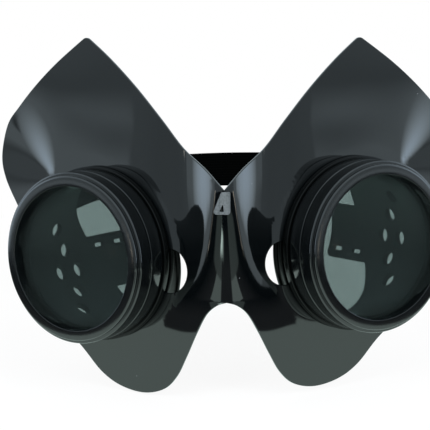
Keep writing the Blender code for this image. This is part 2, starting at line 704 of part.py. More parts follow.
def clamp_ring():
    """The ring that holds the sheet against the cup's flange."""
    inner = RING_BORE_RADIUS
    return turned("clamp_ring", [
        (inner, CLAMP_FRONT), (CLAMP_RADIUS - CLAMP_CHAMFER, CLAMP_FRONT),
        (CLAMP_RADIUS, CLAMP_FRONT - CLAMP_CHAMFER), (CLAMP_RADIUS, CLAMP_BACK + CLAMP_CHAMFER),
        (CLAMP_RADIUS - CLAMP_CHAMFER, CLAMP_BACK), (inner, CLAMP_BACK)])


def quarter_round(radius, height, size, steps):
    """Points round an outer corner at a radius and height, from its top face to its side."""
    return [(radius - size + size * math.sin(math.pi / 2 * step / steps),
             height - size + size * math.cos(math.pi / 2 * step / steps))
            for step in range(steps + 1)]


def lens_ring():
    """The screw ring: raised collar, rounded lip, groove, wide band, lens seat and thread."""
    collar = quarter_round(RING_COLLAR_RADIUS, RING_FRONT, RING_COLLAR_ROUND, RING_LIP_STEPS)
    lip_front = RING_FRONT - RING_COLLAR_HEIGHT
    lip = quarter_round(RING_RADIUS, lip_front, RING_LIP_ROUND, RING_LIP_STEPS)
    groove_top = lip_front - RING_LIP_ROUND - RING_LIP_SIDE
    groove_radius = RING_RADIUS - RING_GROOVE_DEPTH
    pocket = LENS_RADIUS + FIT_GAP
    profile = [(RING_MOUTH_RADIUS, RING_FRONT - RING_APERTURE_CHAMFER),
               (RING_MOUTH_RADIUS + RING_APERTURE_CHAMFER, RING_FRONT), *collar,
               (RING_COLLAR_RADIUS, lip_front), *lip,
               (RING_RADIUS, groove_top), (groove_radius, groove_top - RING_GROOVE_WIDTH / 3),
               (groove_radius, groove_top - RING_GROOVE_WIDTH),
               (RING_RADIUS, groove_top - RING_GROOVE_WIDTH * 4 / 3),
               (RING_RADIUS, RING_BACK + RING_FOOT_CHAMFER),
               (RING_RADIUS - RING_FOOT_CHAMFER, RING_BACK), (RING_BORE_RADIUS, RING_BACK),
               (RING_BORE_RADIUS, GASKET_BACK), (pocket, GASKET_BACK), (pocket, RING_SEAT),
               (RING_APERTURE_RADIUS, RING_SEAT)]
    ring = turned("lens_ring", profile)
    return boolean(ring, "UNION",
                   thread_ridge("ring_thread", RING_BORE_RADIUS + THREAD_ROOT_SINK,
                                NECK_RADIUS + FIT_GAP, math.pi))


def tinted_lens():
    """The smoke tinted front lens."""
    lens = cylinder("tinted_lens", LENS_RADIUS, TINTED_BACK, TINTED_FRONT)
    WORKBENCH.objects.link(lens)
    return bevel(lens, LENS_EDGE_ROUND, 1)


def clear_lens():
    """The clear lens behind the tinted one."""
    lens = cylinder("clear_lens", LENS_RADIUS, CLEAR_BACK, CLEAR_FRONT)
    WORKBENCH.objects.link(lens)
    return bevel(lens, LENS_EDGE_ROUND, 1)


def lens_gasket():
    """The flat rubber ring between the lenses and the neck."""
    return turned("lens_gasket", [(NECK_BORE_RADIUS, GASKET_FRONT), (LENS_RADIUS, GASKET_FRONT),
                                  (LENS_RADIUS, GASKET_BACK), (NECK_BORE_RADIUS, GASKET_BACK)])


# Strap

WRAP_RADIUS = (math.hypot(LUG_BAR_WIDTH, LUG_THICKNESS) / 2 + STRAP_WRAP_GAP
               + STRAP_THICKNESS / 2)
SLIDER_LAYER_GAP = SLIDER_BAR + 2 * FIT_GAP


def lug_bar_centre(side):
    """Where the middle of a cup's strap bar lies in the mask's frame."""
    out = LUG_SLOT_START + LUG_SLOT_WIDTH + LUG_BAR_WIDTH / 2
    return goggle_matrix(side) @ Vector((-out, 0.0, -(SHEET_HALF + LUG_DEPTH)))


def strap_side(side, tail_length, layer_gap):
    """Plan points of one side of the strap, from its tail's end round the bar to the main run.

    The main run lies outside, and the tail inside it at the given gap.
    """
    bar = lug_bar_centre(side)
    inward = -side
    tail_offset = 2 * WRAP_RADIUS - (STRAP_THICKNESS + layer_gap)
    points = []
    for step in range(TAIL_STEPS):
        share = 1.0 - step / TAIL_STEPS
        along = TAIL_SWING + (tail_length - TAIL_SWING) * share
        points.append((bar.x + inward * (WRAP_RADIUS - tail_offset), bar.y + along))
    for step in range(TAIL_STEPS):
        share = 1.0 - step / TAIL_STEPS
        ease = share * share * (3.0 - 2.0 * share)
        points.append((bar.x + inward * (WRAP_RADIUS - tail_offset * ease),
                       bar.y + TAIL_SWING * share))
    for step in range(WRAP_STEPS + 1):
        angle = math.pi * step / WRAP_STEPS
        points.append((bar.x + inward * WRAP_RADIUS * math.cos(angle),
                       bar.y - WRAP_RADIUS * math.sin(angle)))
    return points


def strap_plan():
    """Plan points of the whole strap from the sewn tail on the left to the free tail."""
    left = strap_side(-1, STRAP_SEWN_TAIL, FIT_GAP)
    right = strap_side(1, STRAP_FREE_TAIL, SLIDER_LAYER_GAP)
    start_y = left[-1][1] + STRAP_STRAIGHT
    half_width = -left[-1][0]
    depth = STRAP_BACK - start_y
    loop = []
    for step in range(LOOP_STEPS + 1):
        angle = math.pi * step / LOOP_STEPS
        loop.append((-half_width * math.cos(angle), start_y + depth * math.sin(angle)))
    return left + loop + list(reversed(right))


def strap_rise(x, y):
    """Height of the strap's middle: level beside the goggles, lifted at the back."""
    start_y = lug_bar_centre(-1).y + STRAP_STRAIGHT
    share = min(max((y - start_y) / (STRAP_BACK - start_y), 0.0), 1.0)
    ease = share * share * (3.0 - 2.0 * share)
    across = min(max(x / HOLE_X, -1.0), 1.0)
    return HOLE_STAGGER * across * (1.0 - ease) + STRAP_LIFT * ease


def elastic_strap():
    """The woven elastic, looped round both lugs, as one ribbon."""
    curve = bpy.data.curves.new("elastic_strap", "CURVE")
    curve.dimensions = "3D"
    curve.extrude = STRAP_WIDTH / 2
    spline = curve.splines.new("POLY")
    plan = strap_plan()
    spline.points.add(len(plan) - 1)
    for point, place in zip(spline.points, plan):
        point.co = (place[0], place[1], 0.0, 1.0)
    guide = bpy.data.objects.new("strap_guide", curve)
    WORKBENCH.objects.link(guide)
    bpy.context.view_layer.update()
    evaluated = guide.evaluated_get(bpy.context.evaluated_depsgraph_get())
    ribbon = bpy.data.objects.new("elastic_strap", bpy.data.meshes.new_from_object(evaluated))
    bpy.data.objects.remove(guide)
    WORKBENCH.objects.link(ribbon)
    step = ribbon.modifiers.new("thickness", "SOLIDIFY")
    step.thickness = STRAP_THICKNESS
    step.offset = 0.0
    settled(ribbon)
    for vertex in ribbon.data.vertices:
        vertex.co.z += strap_rise(vertex.co.x, vertex.co.y)
    for along in (FRONT_TACK, REAR_TACK):
        for thread in tack_threads(along, THREAD_SPARE):
            boolean(ribbon, "DIFFERENCE", as_cutter(thread))
    return ribbon


def tack_faces():
    """Where a tack lies on the outer and inner face of the two sewn layers."""
    outer = lug_bar_centre(-1).x - WRAP_RADIUS - STRAP_THICKNESS / 2 - FIT_GAP
    return outer, outer + 2 * STRAP_THICKNESS + 3 * FIT_GAP


def tack_threads(along, spare):
    """Boxes of the threads that pass through the strap at a tack, with some spare round them."""
    bar = lug_bar_centre(-1)
    outer, inner = tack_faces()
    middle_y = bar.y + along
    pitch = (TACK_LENGTH - TACK_THREAD * 2) / (TACK_THREADS - 1)
    half = TACK_THREAD / 2 + spare
    boxes = []
    for index in range(TACK_THREADS):
        z = strap_rise(bar.x, bar.y) + pitch * (index - (TACK_THREADS - 1) / 2)
        boxes.append(block("tack_thread",
                           (outer - TACK_HEIGHT / 2, middle_y - half, z - half),
                           (inner + TACK_HEIGHT / 2, middle_y + half, z + half)))
    return boxes


def strap_tack(along):
    """One bar tack: a bar of thread on each face, joined through both layers."""
    bar = lug_bar_centre(-1)
    outer, inner = tack_faces()
    middle_y = bar.y + along
    middle_z = strap_rise(bar.x, bar.y)
    bars = [block("tack", (near, middle_y - TACK_WIDTH / 2, middle_z - TACK_LENGTH / 2),
                  (near + TACK_HEIGHT, middle_y + TACK_WIDTH / 2, middle_z + TACK_LENGTH / 2))
            for near in (outer - TACK_HEIGHT, inner)]
    tack = bars[0]
    WORKBENCH.objects.link(tack)
    for thread in tack_threads(along, 0.0):
        boolean(tack, "UNION", as_cutter(thread))
    return boolean(tack, "UNION", as_cutter(bars[1]))


def strap_slider():
    """The two-slot slider round both layers of the strap on the right, before its place."""
    main_x = lug_bar_centre(1).x + WRAP_RADIUS
    slot_half = STRAP_THICKNESS / 2 + FIT_GAP
    tail_x = main_x - (STRAP_THICKNESS + SLIDER_LAYER_GAP)
    half_height = STRAP_WIDTH / 2 + FIT_GAP
    half_length = SLIDER_LENGTH / 2
    slider = block("strap_slider", (tail_x - slot_half - SLIDER_WALL, -half_length,
                                    -(half_height + SLIDER_WALL)),
                   (main_x + slot_half + SLIDER_WALL, half_length, half_height + SLIDER_WALL))
    WORKBENCH.objects.link(slider)
    bevel(slider, SLIDER_ROUND)
    for middle in (main_x, tail_x):
        slot = block("slider_slot", (middle - slot_half, -(half_length + CUT_OVERRUN), -half_height),
                     (middle + slot_half, half_length + CUT_OVERRUN, half_height))
        boolean(slider, "DIFFERENCE", as_cutter(slot))
    return slider


def finished(obj, name, finish, parent=None, place=None):
    """Name a piece, give it its finish and put it in the product's collection."""
    for holder in list(obj.users_collection):
        holder.objects.unlink(obj)
    PARTS.objects.link(obj)
    obj.name = name
    obj.data.materials.clear()
    obj.data.materials.append(material_named(name, finish))
    obj.data.shade_smooth()
    obj.data.set_sharp_from_angle(angle=math.radians(35.0))
    obj.parent = parent
    if place is not None:
        obj.location = place
    return obj


def build():
    """Make every piece of the cat ear goggles."""
    finished(mask_sheet(), "mask_sheet", GLOSS_BLACK_SHEET)
    finished(dart_tab(), "nose_dart_tab", WELD_GREY)
    pieces = ((clamp_ring(), "clamp_ring", MOULDED_BLACK),
              (lens_ring(), "lens_ring", RING_BLACK), (tinted_lens(), "tinted_lens", SMOKE_LENS),
              (clear_lens(), "clear_lens", CLEAR_LENS),
              (lens_gasket(), "lens_gasket", RUBBER_BLACK))
    for side, side_name in ((-1, "left"), (1, "right")):
        frame = bpy.data.objects.new(side_name + "_goggle_frame", None)
        PARTS.objects.link(frame)
        frame.matrix_world = goggle_matrix(side)
        finished(eye_cup(side), side_name + "_eye_cup", CUP_BLACK, frame)
        for obj, name, finish in pieces:
            copy = bpy.data.objects.new(name, obj.data.copy())
            finished(copy, side_name + "_" + name, finish, frame)
    for obj, _, _ in pieces:
        bpy.data.objects.remove(obj)
    finished(elastic_strap(), "elastic_strap", WEBBING_BLACK)
    finished(strap_tack(FRONT_TACK), "strap_tack_front", WEBBING_BLACK)
    finished(strap_tack(REAR_TACK), "strap_tack_rear", WEBBING_BLACK)
    bar = lug_bar_centre(1)
    finished(strap_slider(), "strap_slider", MOULDED_BLACK,
             place=(0.0, bar.y + SLIDER_START + SLIDER_LENGTH / 2, strap_rise(bar.x, bar.y)))


for old in list(bpy.data.objects):
    bpy.data.objects.remove(old)
PARTS = collection_named("cat_ear_goggles")
CUTTERS = collection_named("cutters")
WORKBENCH = collection_named("workbench")
build()
bpy.data.collections.remove(WORKBENCH)
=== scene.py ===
"""Cat ear goggles: the finished look of a gloss black sheet mask with two screw-ring goggles.

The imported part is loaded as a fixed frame. Each piece that shows is made again here with fine
curves and gets its finish, and it takes the place of its plain solid. +X is to the right of
somebody looking at the front, +Y is back towards the wearer's head and +Z is up, in metres.
"""
from __future__ import annotations

import logging
import math
from contextlib import contextmanager
from dataclasses import dataclass, field
from enum import Enum
from functools import partial
from typing import Any, Callable, Iterator, Optional, Sequence, Union

import bmesh
import bpy
import numpy as np
from mathutils import Matrix, Vector
from mathutils.geometry import delaunay_2d_cdt


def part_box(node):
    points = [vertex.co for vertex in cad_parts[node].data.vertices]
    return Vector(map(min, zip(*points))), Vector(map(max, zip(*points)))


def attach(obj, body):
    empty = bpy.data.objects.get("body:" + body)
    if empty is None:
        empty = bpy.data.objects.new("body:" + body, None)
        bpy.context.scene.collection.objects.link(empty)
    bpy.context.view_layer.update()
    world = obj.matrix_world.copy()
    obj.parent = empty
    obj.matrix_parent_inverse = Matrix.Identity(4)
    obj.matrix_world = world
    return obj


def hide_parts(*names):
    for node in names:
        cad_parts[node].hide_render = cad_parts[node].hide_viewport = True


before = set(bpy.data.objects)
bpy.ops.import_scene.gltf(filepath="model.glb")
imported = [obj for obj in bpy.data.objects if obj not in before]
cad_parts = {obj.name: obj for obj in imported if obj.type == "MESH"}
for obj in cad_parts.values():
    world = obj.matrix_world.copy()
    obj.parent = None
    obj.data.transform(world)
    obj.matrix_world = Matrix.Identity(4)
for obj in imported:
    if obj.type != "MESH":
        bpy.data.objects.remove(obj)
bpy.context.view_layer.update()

LOG = logging.getLogger("cat_ear_goggles")
MM = 0.001
WELD = 0.0002 * MM  # Points nearer than this are one point.
CLEAR = 1.0 * MM  # How far a cutter reaches past what it cuts.

Object = bpy.types.Object
Material = bpy.types.Material
Tree = bpy.types.NodeTree
Node = bpy.types.Node
Socket = bpy.types.NodeSocket
Array = np.ndarray
Point2 = tuple[float, float]
Point3 = tuple[float, float, float]
Colour = tuple[float, float, float, float]
Share = Union[float, Array]
# What a node's input takes: a value, a socket, or a node that stands for its first output.
Feed = Union[float, Colour, Material, Socket, Node]
# The inputs of a node, in their order or by their name or index.
Given = Union[dict, Sequence]


class Side(Enum):
    """Which goggle, as seen from the front: the value is the sign of its X."""

    LEFT = -1
    RIGHT = 1

    @property
    def label(self) -> str:
        """The side's name as the nodes use it."""
        return self.name.lower()


# Small tools


def linear(hex_colour: str) -> Colour:
    """Turn an sRGB hex colour into Blender's linear one.

    Args:
        hex_colour: six hex digits, such as "1a1c1d".

    Returns:
        Red, green, blue and an alpha of one.
    """
    parts = [int(hex_colour[at:at + 2], 16) / 255 for at in (0, 2, 4)]
    red, green, blue = (part / 12.92 if part <= 0.04045 else ((part + 0.055) / 1.055) ** 2.4
                        for part in parts)
    return red, green, blue, 1.0


def ease(share: Share) -> Share:
    """Soften a share of 0 to 1 so that it leaves and arrives level."""
    return share * share * (3.0 - 2.0 * share)


def feed(node: Node, given: Given) -> None:
    """Fill a node's inputs with values and links.

    Args:
        node: the node.
        given: what goes into its inputs.
    """
    for key, value in given.items() if isinstance(given, dict) else enumerate(given):
        if isinstance(value, Node):
            value = value.outputs[0]
        if isinstance(value, Socket):
            node.id_data.links.new(value, node.inputs[key])
        else:
            node.inputs[key].default_value = value


def add_node(tree: Tree, kind: str, given: Given = (), **settings: Any) -> Node:
    """Add a node with its settings, its values and its links.

    Args:
        tree: the tree that gets the node.
        kind: the node's type name.
        given: what goes into its inputs.
        settings: the node's own attributes.

    Returns:
        The new node.
    """
    made = tree.nodes.new(kind)
    for key, value in settings.items():
        setattr(made, key, value)
    feed(made, given)
    return made


def linked(name: str, data: bpy.types.ID) -> Object:
    """Put data in the scene as an object at the origin.

    Args:
        name: the object's name.
        data: its mesh, light or camera.

    Returns:
        The object.
    """
    made = bpy.data.objects.new(name, data)
    bpy.context.scene.collection.objects.link(made)
    return made


def mesh_object(name: str, points: Sequence, faces: Sequence) -> Object:
    """Make an object at the origin from points and faces, smooth all over.

    Args:
        name: the object's name.
        points: its vertices.
        faces: indices of each face's vertices.

    Returns:
        The object.
    """
    mesh = bpy.data.meshes.new(name)
    mesh.from_pydata([tuple(point) for point in points], [], [tuple(face) for face in faces])
    mesh.shade_smooth()
    return linked(name, mesh)


def from_bmesh(name: str, shape: bmesh.types.BMesh) -> Object:
    """Turn a bmesh into an object and free it.

    Args:
        name: the object's name.
        shape: its mesh.

    Returns:
        The object.
    """
    mesh = bpy.data.meshes.new(name)
    shape.to_mesh(mesh)
    shape.free()
    return linked(name, mesh)


@contextmanager
def edited(obj: Object) -> Iterator[bmesh.types.BMesh]:
    """Open an object's mesh for changes and write them back.

    Args:
        obj: the object.
    """
    shape = bmesh.new()
    shape.from_mesh(obj.data)
    yield shape
    shape.to_mesh(obj.data)
    shape.free()


def sharpen(obj: Object, degrees: float) -> Object:
    """Shade an object smooth but for its edges over an angle.

    Args:
        obj: the object.
        degrees: the angle.

    Returns:
        The same object.
    """
    obj.data.shade_smooth()
    obj.data.set_sharp_from_angle(angle=math.radians(degrees))
    return obj


def evaluated_mesh(obj: Object) -> Object:
    """Replace an object's mesh by what its modifiers make of it, and remove them.

    Args:
        obj: the object.

    Returns:
        The same object.
    """
    bpy.context.view_layer.update()
    evaluated = obj.evaluated_get(bpy.context.evaluated_depsgraph_get())
    mesh = bpy.data.meshes.new_from_object(evaluated)
    obj.modifiers.clear()
    obj.data = mesh
    return obj


def combine(obj: Object, operation: str, tool: Object) -> Object:
    """Join or cut an object with another by an exact Boolean, weld it and remove the other.

    Args:
        obj: the object that changes.
        operation: "UNION", "DIFFERENCE" or "INTERSECT".
        tool: the other object.

    Returns:
        The first object.
    """
    step = obj.modifiers.new("combine", "BOOLEAN")
    step.operation, step.object = operation, tool
    evaluated_mesh(obj)
    bpy.data.objects.remove(tool)
    with edited(obj) as shape:
        bmesh.ops.remove_doubles(shape, verts=shape.verts, dist=WELD)
    return obj


def fillet(corners: Sequence[Point3], steps: int = 5) -> list[Point2]:
    """Round the corners of a closed profile.

    Args:
        corners: each corner's two coordinates and its rounding, 0 for a sharp one.
        steps: how many parts each rounding has.

    Returns:
        The rounded profile's points, in the same order.
    """
    points: list[Point2] = []
    for index, (across, height, radius) in enumerate(corners):
        here = Vector((across, height))
        if radius <= 0.0:
            points.append((across, height))
            continue
        into = Vector(corners[index - 1][:2]) - here
        out = Vector(corners[(index + 1) % len(corners)][:2]) - here
        # Just under half of the shorter side, so that two roundings never meet.
        reach = min(radius / math.tan(into.angle(out) / 2), into.length * 0.49,
                    out.length * 0.49)
        start, end = here + into.normalized() * reach, here + out.normalized() * reach
        for step in range(steps + 1):
            t = step / steps
            point = start * (1 - t) ** 2 + here * 2 * t * (1 - t) + end * t ** 2
            points.append((point.x, point.y))
    return points


def swept_faces(rows: int, size: int, closed: bool) -> list[tuple[int, ...]]:
    """Faces of a section that was swept into rows of points.

    Args:
        rows: how many rows there are.
        size: how many points a row has.
        closed: whether the last row meets the first, or both ends get a face.

    Returns:
        Indices of each face's points.
    """
    faces = [(row * size + index, row * size + (index + 1) % size,
              (row + 1) % rows * size + (index + 1) % size, (row + 1) % rows * size + index)
             for row in range(rows if closed else rows - 1) for index in range(size)]
    if not closed:
        faces += [tuple(range(size))[::-1], tuple(range((rows - 1) * size, rows * size))]
    return faces


def revolve(name: str, profile: Sequence[Point2], segments: int) -> Object:
    """Turn a closed profile of (radius, height) points about the Z axis.

    Args:
        name: the object's name.
        profile: points that run down the outer side, from top to bottom.
        segments: how many steps the turn has.

    Returns:
        The closed, outward facing ring.
    """
    points = [(radius * math.cos(angle), radius * math.sin(angle), height)
              for angle in (math.tau * turn / segments for turn in range(segments))
              for radius, height in profile]
    return mesh_object(name, points, swept_faces(segments, len(profile), closed=True))


def smooth_path(points: Sequence[Sequence[float]], steps: int) -> list[Vector]:
    """Points on a smooth curve through the given ones, its two ends included.

    Args:
        points: places in the plane.
        steps: how many parts each stretch has.

    Returns:
        The curve's points.
    """
    padded = [points[0], *points, points[-1]]
    made: list[Vector] = []
    for index in range(1, len(padded) - 2):
        p0, p1, p2, p3 = (Vector(padded[index + offset]) for offset in (-1, 0, 1, 2))
        for step in range(steps):
            t = step / steps
            made.append(0.5 * (2 * p1 + (p2 - p0) * t + (2 * p0 - 5 * p1 + 4 * p2 - p3) * t ** 2
                               + (3 * p1 - p0 - 3 * p2 + p3) * t ** 3))
    made.append(Vector(points[-1]))
    return made


def cylinder(name: str, radius: float, low: float, high: float, segments: int) -> Object:
    """A plain cutter about the Z axis between two heights.

    Args:
        name: the object's name.
        radius: its radius.
        low: its lower end.
        high: its upper end.
        segments: how many sides it has.

    Returns:
        The object.
    """
    shape = bmesh.new()
    bmesh.ops.create_cone(shape, cap_ends=True, segments=segments, radius1=radius,
                          radius2=radius, depth=high - low,
                          matrix=Matrix.Translation((0.0, 0.0, (low + high) / 2)))
    return from_bmesh(name, shape)


def block(name: str, low: Sequence[float], high: Sequence[float],
          rounding: float = 0.0) -> Object:
    """A box between two corners with rounded edges.

    Args:
        name: the object's name.
        low: the lowest corner.
        high: the highest corner.
        rounding: how far the edges are rounded.

    Returns:
        The object.
    """
    size, middle = Vector(high) - Vector(low), (Vector(high) + Vector(low)) / 2
    shape = bmesh.new()
    bmesh.ops.create_cube(shape, size=1.0,
                          matrix=Matrix.Translation(middle) @ Matrix.Diagonal(size.to_4d()))
    if rounding > 0.0:
        bmesh.ops.bevel(shape, geom=shape.edges[:], offset=rounding, segments=4, profile=0.5,
                        affect="EDGES")
    return from_bmesh(name, shape)


# Finishes


@dataclass(frozen=True)
class Look:
    """What a finish adds to its plain colour. Given are inputs of the Principled node, relief
    is a pattern and its height, tone is a pattern and the colour that it brings, and gloss is
    a pattern and the roughness at its low and high places."""

    given: dict
    relief: Optional[tuple[Feed, float]] = None
    tone: Optional[tuple[Feed, str]] = None
    gloss: Optional[tuple[Feed, float, float]] = None


@dataclass(frozen=True)
class Finish:
    """A surface finish, named for what the real material is."""

    name: str
    colour: str

    def look(self, tree: Tree) -> Look:
        """Nothing beyond the plain colour, unless a kind of finish says more."""
        return Look({})

    def build(self) -> Material:
        """Make the material.

        Returns:
            The material, with its patterns in relief, colour and gloss.
        """
        made = bpy.data.materials.new(self.name)
        made.use_nodes = True
        tree = made.node_tree
        look = self.look(tree)
        given = {"Base Color": linear(self.colour), **look.given}
        if look.relief:
            pattern, height = look.relief
            given["Normal"] = add_node(tree, "ShaderNodeBump", {
                "Strength": 1.0, "Distance": height, "Height": pattern})
        if look.tone:
            share, other = look.tone
            given["Base Color"] = add_node(tree, "ShaderNodeMix", {
                0: share, 6: linear(self.colour), 7: linear(other)}, data_type="RGBA").outputs[2]
        if look.gloss:
            pattern, low, high = look.gloss
            given["Roughness"] = add_node(tree, "ShaderNodeMapRange", {
                "Value": pattern, "To Min": low, "To Max": high})
        feed(tree.nodes["Principled BSDF"], given)
        return made


@dataclass(frozen=True)
class PressPolishedVinyl(Finish):
    """Flexible PVC sheet, press polished: black and nearly a mirror, so that most of what the
    eye gets is the room. Forming leaves long soft ripples; a few light specks in the colour are
    painted glints."""

    roughness: float = 0.035
    haze_size: float = 3.0 * MM
    # Painted glints: light specks in the colour that stand for small points of reflected light.
    painted_glint_spacing: float = 9.0 * MM
    painted_glint_share: float = 0.018
    painted_glint_colour: str = "8c9094"
    ripple_size: float = 24.0 * MM
    ripple_height: float = 0.05 * MM

    def look(self, tree: Tree) -> Look:
        """Ripples in the relief, painted glints as specks in the colour and haze in the gloss.

        Args:
            tree: the material's tree.

        Returns:
            What the surface adds to its colour.
        """
        place = add_node(tree, "ShaderNodeTexCoord").outputs["Object"]
        ripple = add_node(tree, "ShaderNodeTexNoise", {
            "Vector": place, "Scale": 1 / self.ripple_size, "Detail": 0.5, "Roughness": 0.3})
        # Painted glints: tiny light spots in the colour near the middle of some Voronoi cells.
        glint_cells = add_node(tree, "ShaderNodeTexVoronoi", {
            "Vector": place, "Scale": 1 / self.painted_glint_spacing, "Randomness": 1.0})
        painted_glint = add_node(tree, "ShaderNodeMapRange", {
            "Value": glint_cells.outputs["Distance"], "From Min": self.painted_glint_share,
            "From Max": self.painted_glint_share * 0.5, "To Min": 0.0, "To Max": 1.0})
        haze = add_node(tree, "ShaderNodeTexNoise", {
            "Vector": place, "Scale": 1 / self.haze_size, "Detail": 3.0})
        return Look({"IOR": 1.53}, (ripple, self.ripple_height), (painted_glint, self.painted_glint_colour),
                    (haze, self.roughness * 0.7, self.roughness * 1.3))


@dataclass(frozen=True)
class MouldedPlastic(Finish):
    """Injection moulded ABS or soft PVC. The skin of the mould leaves a very slight orange
    peel and an uneven gloss, so that reflections have soft, slightly broken edges."""

    roughness: float
    gloss: float = 0.5
    refraction: float = 1.54
    peel_size: float = 1.6 * MM
    peel_height: float = 0.006 * MM
    wear_size: float = 7.0 * MM

    def look(self, tree: Tree) -> Look:
        """Peel in the relief and wear in the gloss.

        Args:
            tree: the material's tree.

        Returns:
            What the surface adds to its colour.
        """
        place = add_node(tree, "ShaderNodeTexCoord").outputs["Object"]
        peel, wear = (add_node(tree, "ShaderNodeTexNoise", {
            "Vector": place, "Scale": 1 / size, "Detail": detail})
            for size, detail in ((self.peel_size, 2.0), (self.wear_size, 4.0)))
        return Look({"IOR": self.refraction, "Specular IOR Level": self.gloss},
                    (peel, self.peel_height), None,
                    (wear, self.roughness * 0.75, self.roughness * 1.3))


@dataclass(frozen=True)
class PressedWeld(Finish):
    """PVC pressed by a heated die: dull grey, with the die's fine grid and a painted highlight on
    its raised places.
    """

    roughness: float = 0.62
    grid_pitch: float = 0.55 * MM
    grid_height: float = 0.05 * MM
    grid_top: float = 0.7
    # Painted highlight: the grid's raised places are coloured paler.
    raised_highlight_colour: str = "5c6163"

    def look(self, tree: Tree) -> Look:
        """The grid in the relief, and in the colour as a painted highlight on its raised places.

        Args:
            tree: the material's tree.

        Returns:
            What the surface adds to its colour.
        """
        place = add_node(tree, "ShaderNodeTexCoord").outputs["Object"]
        grid = add_node(tree, "ShaderNodeTexVoronoi", {
            "Vector": place, "Scale": 1 / self.grid_pitch, "Randomness": 0.35})
        # Painted highlight: paler colour where the grid stands high.
        high = add_node(tree, "ShaderNodeMapRange", {
            "Value": grid.outputs["Distance"], "From Max": self.grid_top})
        return Look({"Roughness": self.roughness}, (grid.outputs["Distance"], self.grid_height),
                    (high, self.raised_highlight_colour))


@dataclass(frozen=True)
class LensGlass(Finish):
    """Polished optical glass, tinted in the mass. The low refraction stands for the coating
    that takes most of the gloss off its faces, and the haze for the fine dust on them."""

    haze: float = 0.0
    refraction: float = 1.06

    def look(self, tree: Tree) -> Look:
        """Clear transmission, with the tint as the colour."""
        return Look({"Roughness": 0.0, "IOR": self.refraction,
                     "Transmission Weight": 1.0 - self.haze})


@dataclass(frozen=True)
class MattRubber(Finish):
    """Cured black rubber: matt, with a faint grey bloom in clouds."""

    roughness: float = 0.75
    bloom_size: float = 2.0 * MM
    bloom_colour: str = "2a2a2a"

    def look(self, tree: Tree) -> Look:
        """The bloom in the colour.

        Args:
            tree: the material's tree.

        Returns:
            What the surface adds to its colour.
        """
        bloom = add_node(tree, "ShaderNodeTexNoise", {
            "Vector": add_node(tree, "ShaderNodeTexCoord").outputs["Object"],
            "Scale": 1 / self.bloom_size, "Detail": 5.0})
        return Look({"Roughness": self.roughness}, tone=(bloom, self.bloom_colour))


@dataclass(frozen=True)
class WovenElastic(Finish):
    """Woven rubber elastic, quite without gloss: cords along the strap crossed by fine yarn.
    It reads the UV map, whose unit is a millimetre along and across."""

    roughness: float = 0.95
    cord_pitch: float = 1.05
    yarn_pitch: float = 0.7
    weave_height: float = 0.16 * MM
    # Painted highlight: the weave's raised places are coloured a little paler.
    raised_highlight_colour: str = "060707"

    def look(self, tree: Tree) -> Look:
        """The weave in the relief, and a little in the colour as a painted highlight on its raised
        places.

        Args:
            tree: the material's tree.

        Returns:
            What the surface adds to its colour.
        """
        axes = add_node(tree, "ShaderNodeSeparateXYZ", [
            add_node(tree, "ShaderNodeUVMap", uv_map="weave")]).outputs
        cord, yarn = (add_node(tree, "ShaderNodeMath", [add_node(
            tree, "ShaderNodeMath", [axis, math.tau / pitch], operation="MULTIPLY")],
            operation="SINE") for axis, pitch in (
                (axes["Y"], self.cord_pitch), (axes["X"], self.yarn_pitch)))
        over = add_node(tree, "ShaderNodeMath", [cord, yarn], operation="MULTIPLY")
        weave = add_node(tree, "ShaderNodeMath", [over, cord], operation="ADD")
        # Painted highlight: paler colour where the weave stands high.
        high = add_node(tree, "ShaderNodeMapRange", {
            "Value": weave, "From Min": -2.0, "From Max": 2.0})
        return Look({"Roughness": self.roughness, "Specular IOR Level": 0.0},
                    (weave, self.weave_height), (high, self.raised_highlight_colour))


@dataclass(frozen=True)
class TwistedThread(Finish):
    """Spun polyester thread, twisted: the twist shows as slanted ridges."""

    roughness: float = 0.6
    twist_pitch: float = 0.35 * MM
    twist_height: float = 0.06 * MM

    def look(self, tree: Tree) -> Look:
        """The twist in the relief. A wave node has about 0.3 of a band to a unit.

        Args:
            tree: the material's tree.

        Returns:
            What the surface adds to its colour.
        """
        twist = add_node(tree, "ShaderNodeTexWave", {
            "Vector": add_node(tree, "ShaderNodeTexCoord").outputs["Object"],
            "Scale": 0.3 / self.twist_pitch}, bands_direction="DIAGONAL")
        return Look({"Roughness": self.roughness}, (twist.outputs[1], self.twist_height))


def made_once(finish: Finish) -> Any:
    """A dataclass field that holds the finish's material, made with the field's owner."""
    return field(default_factory=finish.build)


@dataclass(frozen=True)
class Finishes:
    """Every finish of the goggles, made once."""

    sheet: Material = made_once(PressPolishedVinyl("black_pvc_sheet", "040607"))
    weld: Material = made_once(PressedWeld("pressed_pvc_weld", "2b2f31"))
    # The rings are glossy, the clamp ring duller, and the cup's soft PVC nearly satin.
    ring: Material = made_once(MouldedPlastic("black_abs_ring", "050708", 0.11))
    clamp: Material = made_once(MouldedPlastic("black_abs_clamp", "030404", 0.2, 0.15))
    cup: Material = made_once(MouldedPlastic("black_soft_pvc_cup", "030404", 0.35, 0.1))
    slider: Material = made_once(MouldedPlastic("black_abs_slider", "111212", 0.25))
    smoke: Material = made_once(LensGlass("smoke_lens_glass", "6f7f7d", 0.052))
    clear: Material = made_once(LensGlass("clear_lens_glass", "f4f8f7"))
    rubber: Material = made_once(MattRubber("gasket_rubber", "171717"))
    elastic: Material = made_once(WovenElastic("black_woven_elastic", "020303"))
    thread: Material = made_once(TwistedThread("black_sewing_thread", "151616"))


def dress(obj: Object, finish: Material) -> Object:
    """Give an object one finish all over.

    Args:
        obj: the object.
        finish: the material.

    Returns:
        The same object.
    """
    obj.data.materials.clear()
    obj.data.materials.append(finish)
    return obj


